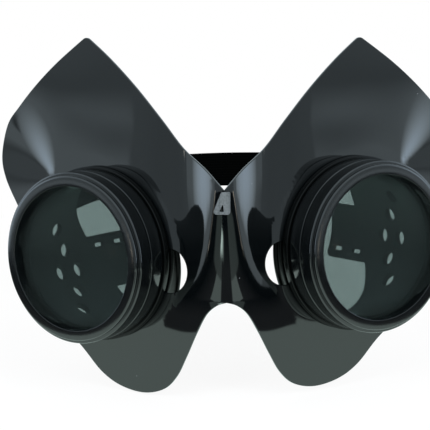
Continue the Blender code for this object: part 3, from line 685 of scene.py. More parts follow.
def hand_over(obj: Object, body: str, slot: str, *nodes: str) -> Object:
    """Let a piece ride on its body and stand for its plain solids.

    Args:
        obj: the finished piece, in place.
        body: the body that it moves with.
        slot: not used.
        nodes: the CAD nodes that it stands for.

    Returns:
        The same piece.
    """
    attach(obj, body)
    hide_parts(*nodes)
    corners = np.array([vertex.co for vertex in obj.data.vertices])
    low, high = (np.array(corner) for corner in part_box(nodes[0]))
    off = max(np.abs(corners.min(0) - low).max(), np.abs(corners.max(0) - high).max())
    LOG.info("%s: %d faces, box within %.2f mm of its solid", obj.name,
             len(obj.data.polygons), off / MM)
    return obj


# Form of the mask


@dataclass(frozen=True)
class MaskForm:
    """The folded form of the sheet: two flat wings joined by a rounded nose ridge."""

    yaw: float = math.radians(34.0)
    pitch: float = math.radians(3.0)
    hole_spread: float = 51.27 * MM
    hole_stagger: float = 1.0 * MM
    thickness: float = 0.9 * MM
    half_width: float = 77.8 * MM
    notch_z: float = 24.1 * MM
    arch_z: float = -12.8 * MM
    left_ear: float = 70.4 * MM
    right_ear: float = 68.8 * MM
    left_lobe: float = 46.4 * MM
    right_lobe: float = 45.1 * MM
    tip_round: float = 1.6 * MM
    ridge_top: float = 4.2 * MM
    ridge_foot: float = 12.4 * MM
    ear_inner: tuple[Point2, ...] = ((0.0, 0.0), (0.075, 0.131), (0.167, 0.262), (0.257, 0.455),
                                     (0.365, 0.673), (0.478, 0.868), (0.581, 1.018))
    ear_outer: tuple[Point2, ...] = ((0.581, 1.018), (0.716, 0.825), (0.820, 0.651),
                                     (0.907, 0.478), (0.968, 0.332), (1.0, 0.104),
                                     (0.985, -0.069), (0.928, -0.275))
    lobe: tuple[Point2, ...] = ((0.897, -0.399), (0.853, 0.007), (0.762, 0.380), (0.643, 0.639),
                                (0.555, 0.857), (0.469, 0.969), (0.366, 1.0), (0.276, 0.931),
                                (0.2185, 0.784), (0.175, 0.576), (0.1285, 0.327),
                                (0.085, 0.131), (0.041, 0.034), (0.0, 0.0))
    clamped: float = 29.6 * MM
    free: float = 34.0 * MM
    # Side, place across and up, reach across and up, and how far back, in millimetres: hollows
    # beside the nose ridge, bulges near the rings and in the ears' outer parts, and shallow
    # dents in their inner parts.
    swells: tuple[tuple[float, ...], ...] = (
        (-1, 12.2, 27.0, 8.3, 34.0, 1.9), (1, 12.2, 27.0, 8.3, 34.0, 1.9),
        (-1, 20.5, 13.5, 6.0, 6.0, -0.35), (1, 20.0, 15.0, 7.0, 7.0, -0.40),
        (-1, 62.0, 50.0, 20.0, 16.0, -0.30), (1, 62.0, 54.0, 20.0, 16.0, -0.25),
        (-1, 36.0, 42.0, 14.0, 7.0, 0.10), (1, 36.0, 42.0, 14.0, 7.0, 0.12),
        (-1, 50.0, 45.5, 6.5, 5.0, 0.035))
    # Side, start across and up in millimetres, heading and spread in degrees, and slope.
    puckers: tuple[tuple[float, ...], ...] = ((-1, 57.5, 22.0, 140.0, 34.0, 0.085),
                                              (1, 58.5, 24.0, 144.0, 32.0, 0.080))
    pucker_reach: float = 26.0
    tip_steps: int = 6
    slope_reach: float = 0.05 * MM

    def ridge_run(self, x: Array, z: Array) -> Array:
        """Distance from the middle plane, eased round the nose ridge.

        Args:
            x: places across from the middle plane.
            z: places up.

        Returns:
            One distance for each place.
        """
        share = np.clip((self.notch_z - z) / (self.notch_z - self.arch_z), 0.0, 1.0)
        half = self.ridge_top + (self.ridge_foot - self.ridge_top) * share
        t = np.abs(x) / half
        return np.where(t >= 1.0, np.abs(x), half * (3 + 6 * t ** 2 - t ** 4) / 8)

    def depth(self, x: Array, z: Array) -> Array:
        """How far back the sheet's middle lies at places seen from the front.

        Args:
            x: places across from the middle plane.
            z: places up.

        Returns:
            One depth for each place.
        """
        sweep = math.tan(self.yaw)
        lean = math.tan(self.pitch) / math.cos(self.yaw)
        return (sweep * (self.ridge_run(x, z) - self.ridge_run(0.0 * x, 0.0 * z)) + lean * z
                - self.thickness / 2)

    def waves(self, x: Array, z: Array) -> Array:
        """Departures of the real sheet from that form, up to 1.9 mm: none where it is held.

        Args:
            x: places across from the middle plane.
            z: places up.

        Returns:
            How far back each place is moved.
        """
        out, up, sign = np.abs(x) / MM, z / MM, np.sign(x)
        lift = 0.0 * x
        for side, at_x, at_z, reach_x, reach_z, height in self.swells:
            bump = np.exp(-((out - at_x) / reach_x) ** 2 - ((up - at_z) / reach_z) ** 2)
            lift += np.where(sign == side, height * bump, 0.0)
        for side, at_x, at_z, heading, spread, slope in self.puckers:
            away = np.hypot(out - at_x, up - at_z)
            bearing = np.degrees(np.arctan2(up - at_z, at_x - out))
            off = (bearing - heading + 180.0) % 360.0 - 180.0
            fold = away * np.exp(-(off / spread) ** 2 - (away / self.pucker_reach) ** 2)
            lift += np.where(sign == side, slope * fold, 0.0)
        held = np.hypot((x - sign * self.hole_x()) / math.cos(self.yaw),
                        z - sign * self.hole_stagger)
        share = np.clip((held - self.clamped) / (self.free - self.clamped), 0.0, 1.0)
        return lift * MM * ease(share)

    def surface(self, x: Array, z: Array) -> Array:
        """Depth of the sheet's middle with its waves."""
        return self.depth(x, z) + self.waves(x, z)

    def normals(self, x: Array, z: Array) -> Array:
        """Unit normals of the sheet, pointing back.

        Args:
            x: places across from the middle plane.
            z: places up.

        Returns:
            One row for each place.
        """
        reach = self.slope_reach
        slope_x = (self.surface(x + reach, z) - self.surface(x - reach, z)) / (2 * reach)
        slope_z = (self.surface(x, z + reach) - self.surface(x, z - reach)) / (2 * reach)
        raw = np.stack([-slope_x, np.ones_like(x), -slope_z], axis=1)
        return raw / np.linalg.norm(raw, axis=1)[:, None]

    def hole_x(self) -> float:
        """How far a goggle's hole lies from the middle plane."""
        return self.hole_spread * math.cos(self.yaw)

    def goggle_matrix(self, side: Side) -> Matrix:
        """Place and turn of a goggle's own frame: +z out of its front, +x towards the nose.

        The right goggle is the same moulding turned over, so its own top points down.

        Args:
            side: which goggle.

        Returns:
            The matrix from its own frame to the object's.
        """
        sign = side.value
        height = sign * self.hole_stagger
        outward = Vector((sign * math.sin(self.yaw) * math.cos(self.pitch),
                          -math.cos(self.yaw) * math.cos(self.pitch), math.sin(self.pitch)))
        noseward = Vector((-sign * math.cos(self.yaw), -math.sin(self.yaw), 0.0))
        turn = Matrix((noseward, outward.cross(noseward), outward)).transposed().to_4x4()
        x = self.hole_x()
        y = float(self.depth(np.array([x]), np.array([height]))[0])
        return Matrix.Translation((sign * x, y, height)) @ turn

    def half_outline(self, ear: float, lobe: float, steps: int) -> list[Vector]:
        """Outline of a right half from the notch over ear and lobe to the arch.

        Args:
            ear: height of the ear's tip.
            lobe: how far the lobe reaches down.
            steps: how many parts each stretch of curve has.

        Returns:
            The points as (x, z).
        """
        inner, outer, low = (
            smooth_path([(x * self.half_width, start + z * (end - start)) for x, z in shares],
                        steps)
            for shares, start, end in ((self.ear_inner, self.notch_z, ear),
                                       (self.ear_outer, self.notch_z, ear),
                                       (self.lobe, self.arch_z, -lobe)))
        tip = inner[-1]
        into, out = (inner[-2] - tip).normalized(), (outer[1] - tip).normalized()
        half_angle = into.angle(out) / 2
        centre = tip + (into + out).normalized() * self.tip_round / math.sin(half_angle)
        reach = self.tip_round / math.tan(half_angle)
        start, end = tip + into * reach - centre, tip + out * reach - centre
        arc = [centre + (start * (1 - t) + end * t).normalized() * self.tip_round
               for t in np.linspace(0.0, 1.0, self.tip_steps + 1)]
        before, after = ([p for p in run if (p - tip).length > reach] for run in (inner, outer))
        return before + arc + after + low

    def outline(self, steps: int = 12) -> Array:
        """The whole outline seen from the front, anticlockwise, as (x, z) points.

        Args:
            steps: how many parts each stretch of curve has.

        Returns:
            The points.
        """
        right = self.half_outline(self.right_ear, self.right_lobe, steps)
        left = self.half_outline(self.left_ear, self.left_lobe, steps)
        loop = [(p.x, p.y) for p in right] + [(-p.x, p.y) for p in reversed(left[1:-1])]
        return np.array(loop)[::-1]


@dataclass(frozen=True)
class FormedPlate:
    """A flat blank with holes that is formed onto the mask, with softly rounded edges."""

    form: MaskForm
    front: float
    back: float
    edge_round: float = 0.14 * MM
    cell: float = 1.2 * MM
    edge_share: float = 0.55
    edge_lean: float = 0.35
    chunks: int = 24
    nearly: float = 1e-9

    def inset(self, loop: Array) -> tuple[Array, Array]:
        """Move a loop into the material, which lies on its left.

        Args:
            loop: (x, z) points with the material on their left.

        Returns:
            The moved loop, and the unit directions out of the material.
        """
        ahead = np.roll(loop, -1, axis=0) - loop
        ahead /= np.linalg.norm(ahead, axis=1)[:, None]
        left = np.stack([-ahead[:, 1], ahead[:, 0]], axis=1)
        inward = left + np.roll(left, 1, axis=0)
        inward /= np.maximum(np.linalg.norm(inward, axis=1)[:, None], self.nearly)
        return loop + inward * self.edge_round, -inward

    def lift(self, flat: Array, offset: float) -> Array:
        """Put flat points on the form, at an offset along its normal.

        Args:
            flat: (x, z) points.
            offset: how far behind the form they go.

        Returns:
            The points in space.
        """
        x, z = flat[:, 0], flat[:, 1]
        return (np.stack([x, self.form.surface(x, z), z], axis=1)
                + self.form.normals(x, z) * offset)

    @staticmethod
    def inside(places: Array, loops: Sequence[Array]) -> Array:
        """Whether places lie in the material, by counting crossings of all loops.

        Args:
            places: (x, z) points.
            loops: the plate's outlines.

        Returns:
            One truth value for each place.
        """
        odd = np.zeros(len(places), bool)
        for loop in loops:
            after = np.roll(loop, -1, axis=0)
            for (x0, z0), (x1, z1) in zip(loop, after):
                if z0 == z1:
                    continue
                spans = (places[:, 1] >= min(z0, z1)) & (places[:, 1] < max(z0, z1))
                at = x0 + (places[:, 1] - z0) * (x1 - x0) / (z1 - z0)
                odd ^= spans & (places[:, 0] < at)
        return odd

    def triangles(self, loops: Sequence[Array], outer: Array) -> tuple[Array, Array]:
        """Fill loops with even triangles on a grid that keeps off their edges.

        Args:
            loops: the inset outlines.
            outer: the outer outline, whose box the grid spans.

        Returns:
            The (x, z) points, the loops' own first, and the triangles.
        """
        low, high = outer.min(0), outer.max(0)
        grid = np.stack(np.meshgrid(np.arange(low[0], high[0], self.cell),
                                    np.arange(low[1], high[1], self.cell)), -1).reshape(-1, 2)
        grid = grid[self.inside(grid, loops)]
        rim = np.concatenate(loops)
        near = np.concatenate([np.linalg.norm(part[:, None] - rim[None], axis=2).min(1)
                               for part in np.array_split(grid, self.chunks) if len(part)])
        flat = np.concatenate([rim, grid[near > self.cell * self.edge_share]])
        edges, start = [], 0
        for loop in loops:
            edges += [(start + i, start + (i + 1) % len(loop)) for i in range(len(loop))]
            start += len(loop)
        found = delaunay_2d_cdt([Vector(p) for p in flat], edges, [], 1, self.nearly)
        flat, faces = np.array([tuple(p) for p in found[0]]), np.array(list(found[2]))
        faces = faces[self.inside(flat[faces].mean(axis=1), loops)]
        turned = np.cross(flat[faces[:, 1]] - flat[faces[:, 0]],
                          flat[faces[:, 2]] - flat[faces[:, 0]]) < 0
        faces[turned] = faces[turned][:, ::-1]
        return flat, faces

    def build(self, name: str, outer: Array, holes: Sequence[Array]) -> Object:
        """Make the closed plate with exact normals.

        Args:
            name: the object's name.
            outer: the outline, anticlockwise seen from the front.
            holes: the holes' outlines, clockwise.

        Returns:
            The plate.
        """
        loops = [outer, *holes]
        moved, outward = zip(*(self.inset(loop) for loop in loops))
        flat, faces = self.triangles(moved, outer)
        count = len(flat)
        points = [self.lift(flat, self.front), self.lift(flat, self.back)]
        facing = self.form.normals(flat[:, 0], flat[:, 1])
        normals = [-facing, facing]
        polygons = [tuple(face) for face in faces]
        polygons += [tuple(count + corner for corner in reversed(face)) for face in faces]
        base, start = 2 * count, 0
        for loop, away in zip(loops, outward):
            size = len(loop)
            back = self.form.normals(loop[:, 0], loop[:, 1])
            out = np.stack([away[:, 0], 0.0 * away[:, 0], away[:, 1]], axis=1)
            out -= back * (out * back).sum(1)[:, None]
            out /= np.linalg.norm(out, axis=1)[:, None]
            for offset, lean in ((self.front + self.edge_round, -self.edge_lean),
                                 (self.back - self.edge_round, self.edge_lean)):
                points.append(self.lift(loop, offset))
                mixed = out + back * lean
                normals.append(mixed / np.linalg.norm(mixed, axis=1)[:, None])
            rows = [start, base, base + size, count + start]
            for index in range(size):
                after = (index + 1) % size
                polygons += [(upper + index, lower + index, lower + after, upper + after)
                             for upper, lower in zip(rows, rows[1:])]
            base += 2 * size
            start += size
        made = mesh_object(name, np.concatenate(points), polygons)
        made.data.normals_split_custom_set_from_vertices(np.concatenate(normals).tolist())
        return made


@dataclass(frozen=True)
class MaskSheet:
    """The sheet itself, with a goggle hole and a nose relief in each wing."""

    form: MaskForm
    hole_radius: float = 26.75 * MM
    hole_steps: int = 200
    relief_radius: float = 7.4 * MM
    relief_steps: int = 60
    relief_reach: float = 36.2 * MM
    relief_drop: float = 3.1 * MM

    def hole(self, side: Side) -> Array:
        """A hole joined with its relief, clockwise, as (x, z) points.

        Args:
            side: which goggle's hole.

        Returns:
            The loop.
        """
        centre = Vector((self.relief_reach - self.relief_radius, side.value * self.relief_drop))
        gap = centre.length
        along = (gap ** 2 + self.hole_radius ** 2 - self.relief_radius ** 2) / (2 * gap)
        heading = math.atan2(centre.y, centre.x)
        hole_half = math.acos(along / self.hole_radius)
        relief_half = math.acos((gap - along) / self.relief_radius)
        relief_turn = math.pi - relief_half
        arc = [(self.hole_radius * math.cos(turn), self.hole_radius * math.sin(turn), 0.0)
               for turn in np.linspace(heading + hole_half, heading + math.tau - hole_half,
                                       self.hole_steps)]
        arc += [(centre.x + self.relief_radius * math.cos(turn),
                 centre.y + self.relief_radius * math.sin(turn), 0.0)
                for turn in np.linspace(heading - relief_turn, heading + relief_turn,
                                        self.relief_steps)[1:-1]]
        place = self.form.goggle_matrix(side)
        seen = [place @ Vector(point) for point in arc]
        loop = np.array([(p.x, p.z) for p in seen])
        after = np.roll(loop, -1, axis=0)
        area = (loop[:, 0] * after[:, 1] - after[:, 0] * loop[:, 1]).sum()
        return loop[::-1] if area > 0 else loop

    def build(self, finishes: Finishes) -> Object:
        """Make, dress and hand over the sheet.

        Args:
            finishes: every finish.

        Returns:
            The sheet.
        """
        half = self.form.thickness / 2
        plate = FormedPlate(self.form, -half, half)
        made = plate.build("formed_mask_sheet", self.form.outline(),
                           [self.hole(side) for side in Side])
        return hand_over(dress(made, finishes.sheet), "mask", "mask_sheet", "mask_sheet")


@dataclass(frozen=True)
class DartTab:
    """The pressed tab that closes the dart, with its small eye."""

    form: MaskForm
    thickness: float = 0.5 * MM
    gap: float = 0.3 * MM
    width: float = 5.0 * MM
    length: float = 7.4 * MM
    top_drop: float = 0.5 * MM
    edge_round: float = 0.12 * MM
    cell: float = 0.35 * MM
    corner_round: float = 0.5 * MM
    eye_round: float = 0.15 * MM
    edge: tuple[Point2, ...] = ((-0.14, 0.0), (0.30, 0.0), (0.30, 0.9), (0.20, 1.0),
                                (-0.50, 1.0), (-0.60, 0.92), (-0.57, 0.82))
    eye: tuple[Point2, ...] = ((-0.06, 0.52), (-0.03, 0.86), (-0.27, 0.86))

    def loop(self, shares: Sequence[Point2], rounding: float) -> Array:
        """Place shares on the tab as a rounded, anticlockwise loop of (x, z) points.

        Args:
            shares: places as shares of the tab's width and length.
            rounding: how far the corners are rounded.

        Returns:
            The loop.
        """
        corners = [(x * self.width, self.form.notch_z - self.top_drop - z * self.length,
                    rounding) for x, z in shares]
        return np.array(fillet(corners, 4))[::-1]

    def build(self, finishes: Finishes) -> Object:
        """Make, dress and hand over the tab.

        Args:
            finishes: every finish.

        Returns:
            The tab.
        """
        back = -(self.form.thickness / 2 + self.gap)
        plate = FormedPlate(self.form, back - self.thickness, back, self.edge_round, self.cell)
        made = plate.build("pressed_dart_tab", self.loop(self.edge, self.corner_round),
                           [self.loop(self.eye, self.eye_round)[::-1]])
        return hand_over(dress(made, finishes.weld), "mask", "dart_tab", "nose_dart_tab")


# Goggles


@dataclass(frozen=True)
class Goggle:
    """One screw-ring goggle. Heights are along its axis from the sheet's middle."""

    form: MaskForm
    gap: float = 0.3 * MM
    sheet_half: float = 0.45 * MM
    neck_radius: float = 25.75 * MM
    bore_radius: float = 23.6 * MM
    flange_radius: float = 29.3 * MM
    flange_thickness: float = 1.5 * MM
    cup_radius: float = 28.6 * MM
    cup_wall: float = 2.05 * MM
    cup_depth: float = 31.0 * MM
    bead_radius: float = 29.3 * MM
    bead_length: float = 1.6 * MM
    clamp_radius: float = 29.3 * MM
    clamp_thickness: float = 2.2 * MM
    ring_radius: float = 28.5 * MM
    ring_length: float = 12.95 * MM
    aperture_radius: float = 23.6 * MM
    aperture_depth: float = 3.35 * MM
    mouth_radius: float = 24.1 * MM
    collar_radius: float = 27.4 * MM
    collar_height: float = 1.35 * MM
    collar_round: float = 1.15 * MM
    lip_round: float = 0.9 * MM
    lip_side: float = 4.3 * MM
    groove: float = 0.5 * MM
    lens_radius: float = 25.0 * MM
    lens_thickness: float = 1.8 * MM
    clear_thickness: float = 1.0 * MM
    gasket_thickness: float = 0.8 * MM
    thread_height: float = 0.7 * MM
    thread_pitch: float = 3.0 * MM
    thread_turns: float = 7 / 6
    thread_width: float = 1.0 * MM
    thread_tip: float = 0.7 * MM
    thread_round: float = 0.12 * MM
    thread_sink: float = 0.3 * MM
    thread_lead: float = 0.7 * MM
    thread_steps: int = 112
    ring_steps: int = 224
    turn_steps: int = 160
    wall_rows: int = 6
    vent_steps: int = 32
    lens_eye: float = 0.02 * MM
    lug_depth: float = 8.0 * MM
    lug_thickness: float = 2.0 * MM
    lug_half_height: float = 10.4 * MM
    lug_round: float = 0.6 * MM
    slot_half_height: float = 7.75 * MM
    slot_start: float = 30.2 * MM
    slot_width: float = 2.6 * MM
    bar_width: float = 2.3 * MM
    vent_radius: float = 2.5 * MM
    vent_depth: float = 6.8 * MM
    vent_row_step: float = 4.6 * MM
    vent_rows: int = 3
    vent_middle: float = math.radians(189.0)
    vent_spacing: float = math.radians(32.5)
    cup_roll: float = math.radians(15.0)
    tongue_middle: float = math.radians(7.0)
    tongue_width: float = 19.2 * MM
    tongue_thickness: float = 1.2 * MM
    tongue_root: float = 20.0 * MM
    tongue_reach: float = 46.0 * MM
    tongue_round: float = 3.0 * MM
    tongue_slot_depth: float = 30.0 * MM
    tongue_slot_spacing: float = 10.6 * MM
    tongue_slot_length: float = 4.6 * MM
    tongue_slot_width: float = 1.4 * MM
    tongue_slot_edge: float = 2.6 * MM
    rim: tuple[Point2, ...] = ((0, 0.09), (40, 0.14), (90, 0.30), (138, 0.46), (180, 0.88),
                               (205, 1.0), (235, 0.92), (270, 0.64), (315, 0.24), (350, 0.10))

    @property
    def flange_front(self) -> float:
        """Front of the cup's flange."""
        return -(self.sheet_half + self.gap)

    @property
    def flange_back(self) -> float:
        """Back of the cup's flange."""
        return self.flange_front - self.flange_thickness

    @property
    def ring_back(self) -> float:
        """Back of the lens ring."""
        return self.sheet_half + self.gap + self.clamp_thickness + self.gap

    @property
    def ring_front(self) -> float:
        """Front of the lens ring."""
        return self.ring_back + self.ring_length

    @property
    def lens_front(self) -> float:
        """Front of the tinted lens."""
        return self.ring_front - self.aperture_depth - self.gap

    @property
    def gasket_back(self) -> float:
        """Back of the gasket."""
        return (self.lens_front - self.lens_thickness - self.gap - self.clear_thickness
                - self.gap - self.gasket_thickness)

    @property
    def ring_bore(self) -> float:
        """Radius of the ring's bore behind the lenses."""
        return self.neck_radius + self.thread_height + self.gap

    def rim_depth(self, angle: float) -> float:
        """How far the cup's rim reaches behind its flange at an angle about the axis.

        Args:
            angle: the angle.

        Returns:
            The reach, by a smooth curve through rim.
        """
        turn, degrees = 360.0, math.degrees(angle) % 360.0
        knots = ([(at - turn, share) for at, share in self.rim[-2:]] + list(self.rim)
                 + [(at + turn, share) for at, share in self.rim[:2]])
        for before, start, end, after in zip(knots, knots[1:], knots[2:], knots[3:]):
            if start[0] <= degrees <= end[0]:
                span = end[0] - start[0]
                leave = (end[1] - before[1]) / (end[0] - before[0]) * span
                enter = (after[1] - start[1]) / (after[0] - start[0]) * span
                t = (degrees - start[0]) / span
                share = ((2 * t ** 3 - 3 * t ** 2 + 1) * start[1]
                         + (t ** 3 - 2 * t ** 2 + t) * leave + (3 * t ** 2 - 2 * t ** 3) * end[1]
                         + (t ** 3 - t ** 2) * enter)
                return self.cup_depth * share
        return self.cup_depth

    def thread(self, root: float, crest: float, start: float) -> Object:
        """A helical ridge of the shared screw thread, closed at both ends.

        Args:
            root: radius of its foot.
            crest: radius of its crest.
            start: angle about the axis at which it starts.

        Returns:
            The ridge, ready to be joined to its neck or bore.
        """
        foot, tip = self.thread_width / 2, self.thread_tip / 2
        section = fillet([(root, foot, 0.0), (crest, tip, self.thread_round),
                          (crest, -tip, self.thread_round), (root, -foot, 0.0)], 3)
        points = []
        for share in np.linspace(0.0, self.thread_turns, self.thread_steps + 1):
            angle = start + math.tau * share
            climb = self.ring_back + self.thread_lead + self.thread_pitch * share
            points += [(radius * math.cos(angle), radius * math.sin(angle), climb + height)
                       for radius, height in section]
        ridge = mesh_object("thread", points, swept_faces(
            self.thread_steps + 1, len(section), closed=False))
        with edited(ridge) as shape:
            bmesh.ops.recalc_face_normals(shape, faces=shape.faces)
        return ridge

    def lens_ring(self) -> Object:
        """The screw ring: collar, lip, groove, wide band, lens seat and inner thread.

        Returns:
            The piece in the goggle's own frame.
        """
        front, back = self.ring_front, self.ring_back
        lip_front = front - self.collar_height
        groove_top = lip_front - self.lip_round - self.lip_side
        seat = front - self.aperture_depth
        pocket = self.lens_radius + self.gap
        profile = fillet([
            (self.mouth_radius, front, 0.15 * MM), (self.collar_radius, front, self.collar_round),
            (self.collar_radius, lip_front, 0.1 * MM),
            (self.ring_radius, lip_front, self.lip_round),
            (self.ring_radius, groove_top, 0.1 * MM),
            (self.ring_radius - self.groove, groove_top - self.groove * 0.4, 0.05 * MM),
            (self.ring_radius - self.groove, groove_top - self.groove, 0.05 * MM),
            (self.ring_radius, groove_top - self.groove * 1.4, 0.1 * MM),
            (self.ring_radius, back, 0.25 * MM), (self.ring_bore, back, 0.15 * MM),
            (self.ring_bore, self.gasket_back, 0.0), (pocket, self.gasket_back, 0.0),
            (pocket, seat, 0.0), (self.aperture_radius, seat, 0.2 * MM)], 6)
        ring = revolve("lens_ring", profile, self.ring_steps)
        return sharpen(combine(ring, "UNION", self.thread(
            self.ring_bore + self.thread_sink, self.neck_radius + self.gap, math.pi)), 50.0)

    def clamp_ring(self) -> Object:
        """The ring that holds the sheet against the cup's flange.

        Returns:
            The piece in the goggle's own frame.
        """
        back = self.sheet_half + self.gap
        front = back + self.clamp_thickness
        profile = fillet([(self.ring_bore, front, 0.1 * MM), (self.clamp_radius, front, 0.25 * MM),
                          (self.clamp_radius, back, 0.25 * MM), (self.ring_bore, back, 0.1 * MM)])
        return sharpen(revolve("clamp_ring", profile, self.ring_steps), 50.0)

    def tinted_lens(self) -> Object:
        """The smoke lens with its ground edge. It is turned with a tiny eye in its middle,
        which is then filled.

        Returns:
            The piece in the goggle's own frame.
        """
        front, back, eye = self.lens_front, self.lens_front - self.lens_thickness, self.lens_eye
        profile = fillet([(eye, front, 0.0), (self.lens_radius, front, 0.25 * MM),
                          (self.lens_radius, back, 0.25 * MM), (eye, back, 0.0)])
        lens = revolve("tinted_lens", profile, self.turn_steps)
        with edited(lens) as shape:
            bmesh.ops.delete(shape, geom=[face for face in shape.faces if all(
                math.hypot(*vertex.co.xy) < eye * 2 for vertex in face.verts)], context="FACES")
            bmesh.ops.holes_fill(shape, edges=[e for e in shape.edges if e.is_boundary], sides=0)
        return sharpen(lens, 30.0)

    def strap_lug(self) -> Object:
        """The slotted lug on the cup's temple side.

        Returns:
            The piece in the goggle's own frame.
        """
        low = -(self.sheet_half + self.lug_depth + self.lug_thickness / 2)
        high = low + self.lug_thickness
        end = self.slot_start + self.slot_width
        core = self.cup_radius - self.cup_wall * 0.6
        lug = block("lug", (-(end + self.bar_width), -self.lug_half_height, low),
                    (-core, self.lug_half_height, high), self.lug_round)
        half = self.slot_half_height
        combine(lug, "DIFFERENCE", block("slot", (-end, -half, low - CLEAR),
                                         (-self.slot_start, half, high + CLEAR)))
        return combine(lug, "DIFFERENCE", cylinder("core", core, low - CLEAR, high + CLEAR,
                                                   self.turn_steps))

    def temple_tongue(self) -> Object:
        """The tongue behind the temple side, with two short slots near one edge.

        Returns:
            The piece in the goggle's own frame.
        """
        inner = self.cup_radius - (self.cup_wall + self.tongue_thickness) / 2
        outer = inner + self.tongue_thickness
        top, end = self.flange_back - self.tongue_root, self.flange_back - self.tongue_reach
        tongue = revolve("tongue", fillet([
            (outer, top, 0.0), (outer, end, 0.4 * MM), (inner, end, 0.4 * MM),
            (inner, top, 0.0)]), self.turn_steps)
        half = self.tongue_width / 2
        combine(tongue, "INTERSECT", block("edges", (-(outer + 8 * CLEAR), -half, end),
                                           (-half, half, top + 4 * CLEAR), self.tongue_round))
        edge = half - self.tongue_slot_edge
        for depth in (self.tongue_slot_depth, self.tongue_slot_depth + self.tongue_slot_spacing):
            low = self.flange_back - depth - self.tongue_slot_length / 2
            combine(tongue, "DIFFERENCE", block(
                "slot", (-(outer + 4 * CLEAR), edge - self.tongue_slot_width, low),
                (-half, edge, low + self.tongue_slot_length)))
        tongue.data.transform(Matrix.Rotation(self.tongue_middle, 4, "Z"))
        return tongue

    def vent_places(self) -> list[Point2]:
        """Angle about the axis and depth behind the flange of each vent.

        Returns:
            One pair for each vent, in rows that get shorter.
        """
        return [(self.vent_middle + self.vent_spacing * (index - (self.vent_rows - row - 1) / 2),
                 self.vent_depth + self.vent_row_step * row)
                for row in range(self.vent_rows) for index in range(self.vent_rows - row)]

    def eye_cup(self, side: Side) -> Object:
        """The moulded cup: threaded neck, flange, wall that follows the face with its bead,
        tongue, lug and vents.

        Args:
            side: which goggle, because each cup is turned a little in its hole.

        Returns:
            The piece in the goggle's own frame.
        """
        back, rim = self.flange_back, self.flange_back - self.cup_depth
        wall_end = rim + self.bead_length
        inner = self.cup_radius - self.cup_wall
        wall = [(self.cup_radius, back + (wall_end - back) * row / self.wall_rows, 0.0)
                for row in range(1, self.wall_rows)]
        lining = [(inner, height, 0.0) for _, height, _ in reversed(wall)]
        neck_front = self.gasket_back - self.gap
        profile = fillet([
            (self.bore_radius, neck_front, 0.2 * MM), (self.neck_radius, neck_front, 0.3 * MM),
            (self.neck_radius, self.flange_front, 0.0),
            (self.flange_radius, self.flange_front, 0.35 * MM),
            (self.flange_radius, back, 0.35 * MM), (self.cup_radius, back, 0.0), *wall,
            (self.cup_radius, wall_end, 0.2 * MM),
            (self.bead_radius, wall_end - 0.3 * MM, 0.4 * MM),
            (self.bead_radius, rim, 0.55 * MM), (inner, rim, 0.35 * MM), (inner, wall_end, 0.0),
            *lining, (inner, back, 0.0), (self.bore_radius, back, 0.4 * MM)], 4)
        cup = revolve("eye_cup", profile, self.turn_steps)
        limit = self.cup_depth - self.bead_length
        for vertex in cup.data.vertices:
            depth = back - vertex.co.z
            if depth > 0.01 * MM:
                reach = self.rim_depth(math.atan2(vertex.co.y, vertex.co.x))
                depth = (depth * (reach - self.bead_length) / limit if depth < limit
                         else depth - (self.cup_depth - reach))
                vertex.co.z = back - depth
        combine(cup, "UNION", self.temple_tongue())
        roll = Matrix.Rotation(-side.value * self.cup_roll, 4, "Z")
        cup.data.transform(roll)
        combine(cup, "UNION", self.thread(self.neck_radius - self.thread_sink,
                                          self.neck_radius + self.thread_height, 0.0))
        combine(cup, "UNION", self.strap_lug())
        for angle, depth in self.vent_places():
            vent = cylinder("vent", self.vent_radius, inner - 4 * CLEAR,
                            self.cup_radius + 4 * CLEAR, self.vent_steps)
            vent.data.transform(roll @ Matrix.Translation((0.0, 0.0, back - depth))
                                @ Matrix.Rotation(angle, 4, "Z")
                                @ Matrix.Rotation(math.pi / 2, 4, "Y"))
            combine(cup, "DIFFERENCE", vent)
        return sharpen(cup, 38.0)

    def build(self, finishes: Finishes) -> None:
        """Make one set of pieces and place it on both sides.

        Args:
            finishes: every finish.
        """
        makers: tuple[tuple[str, Callable[[], Object], Material, str], ...] = (
            ("clamp_ring", self.clamp_ring, finishes.clamp, "mask"),
            ("lens_ring", self.lens_ring, finishes.ring, "screw_ring"),
            ("tinted_lens", self.tinted_lens, finishes.smoke, "lens_stack"))
        for side in Side:
            self.place(dress(self.eye_cup(side), finishes.cup), "eye_cup", side, "mask")
        for label, make, finish, body in makers:
            master = dress(make(), finish)
            for side in Side:
                self.place(linked(label, master.data.copy()), label, side, body)
            bpy.data.objects.remove(master)

    def place(self, piece: Object, label: str, side: Side, body: str) -> None:
        """Put a piece from the goggle's own frame in its place and hand it over.

        Args:
            piece: the dressed piece.
            label: its name within a goggle.
            side: which goggle it belongs to.
            body: "mask", or the moving body's name without its side.
        """
        piece.data.transform(self.form.goggle_matrix(side))
        piece.name = f"{side.label}_finished_{label}"
        rides_on = body if body == "mask" else f"{side.label}_{body}"
        hand_over(piece, rides_on, label, f"{side.label}_{label}")


# Strap


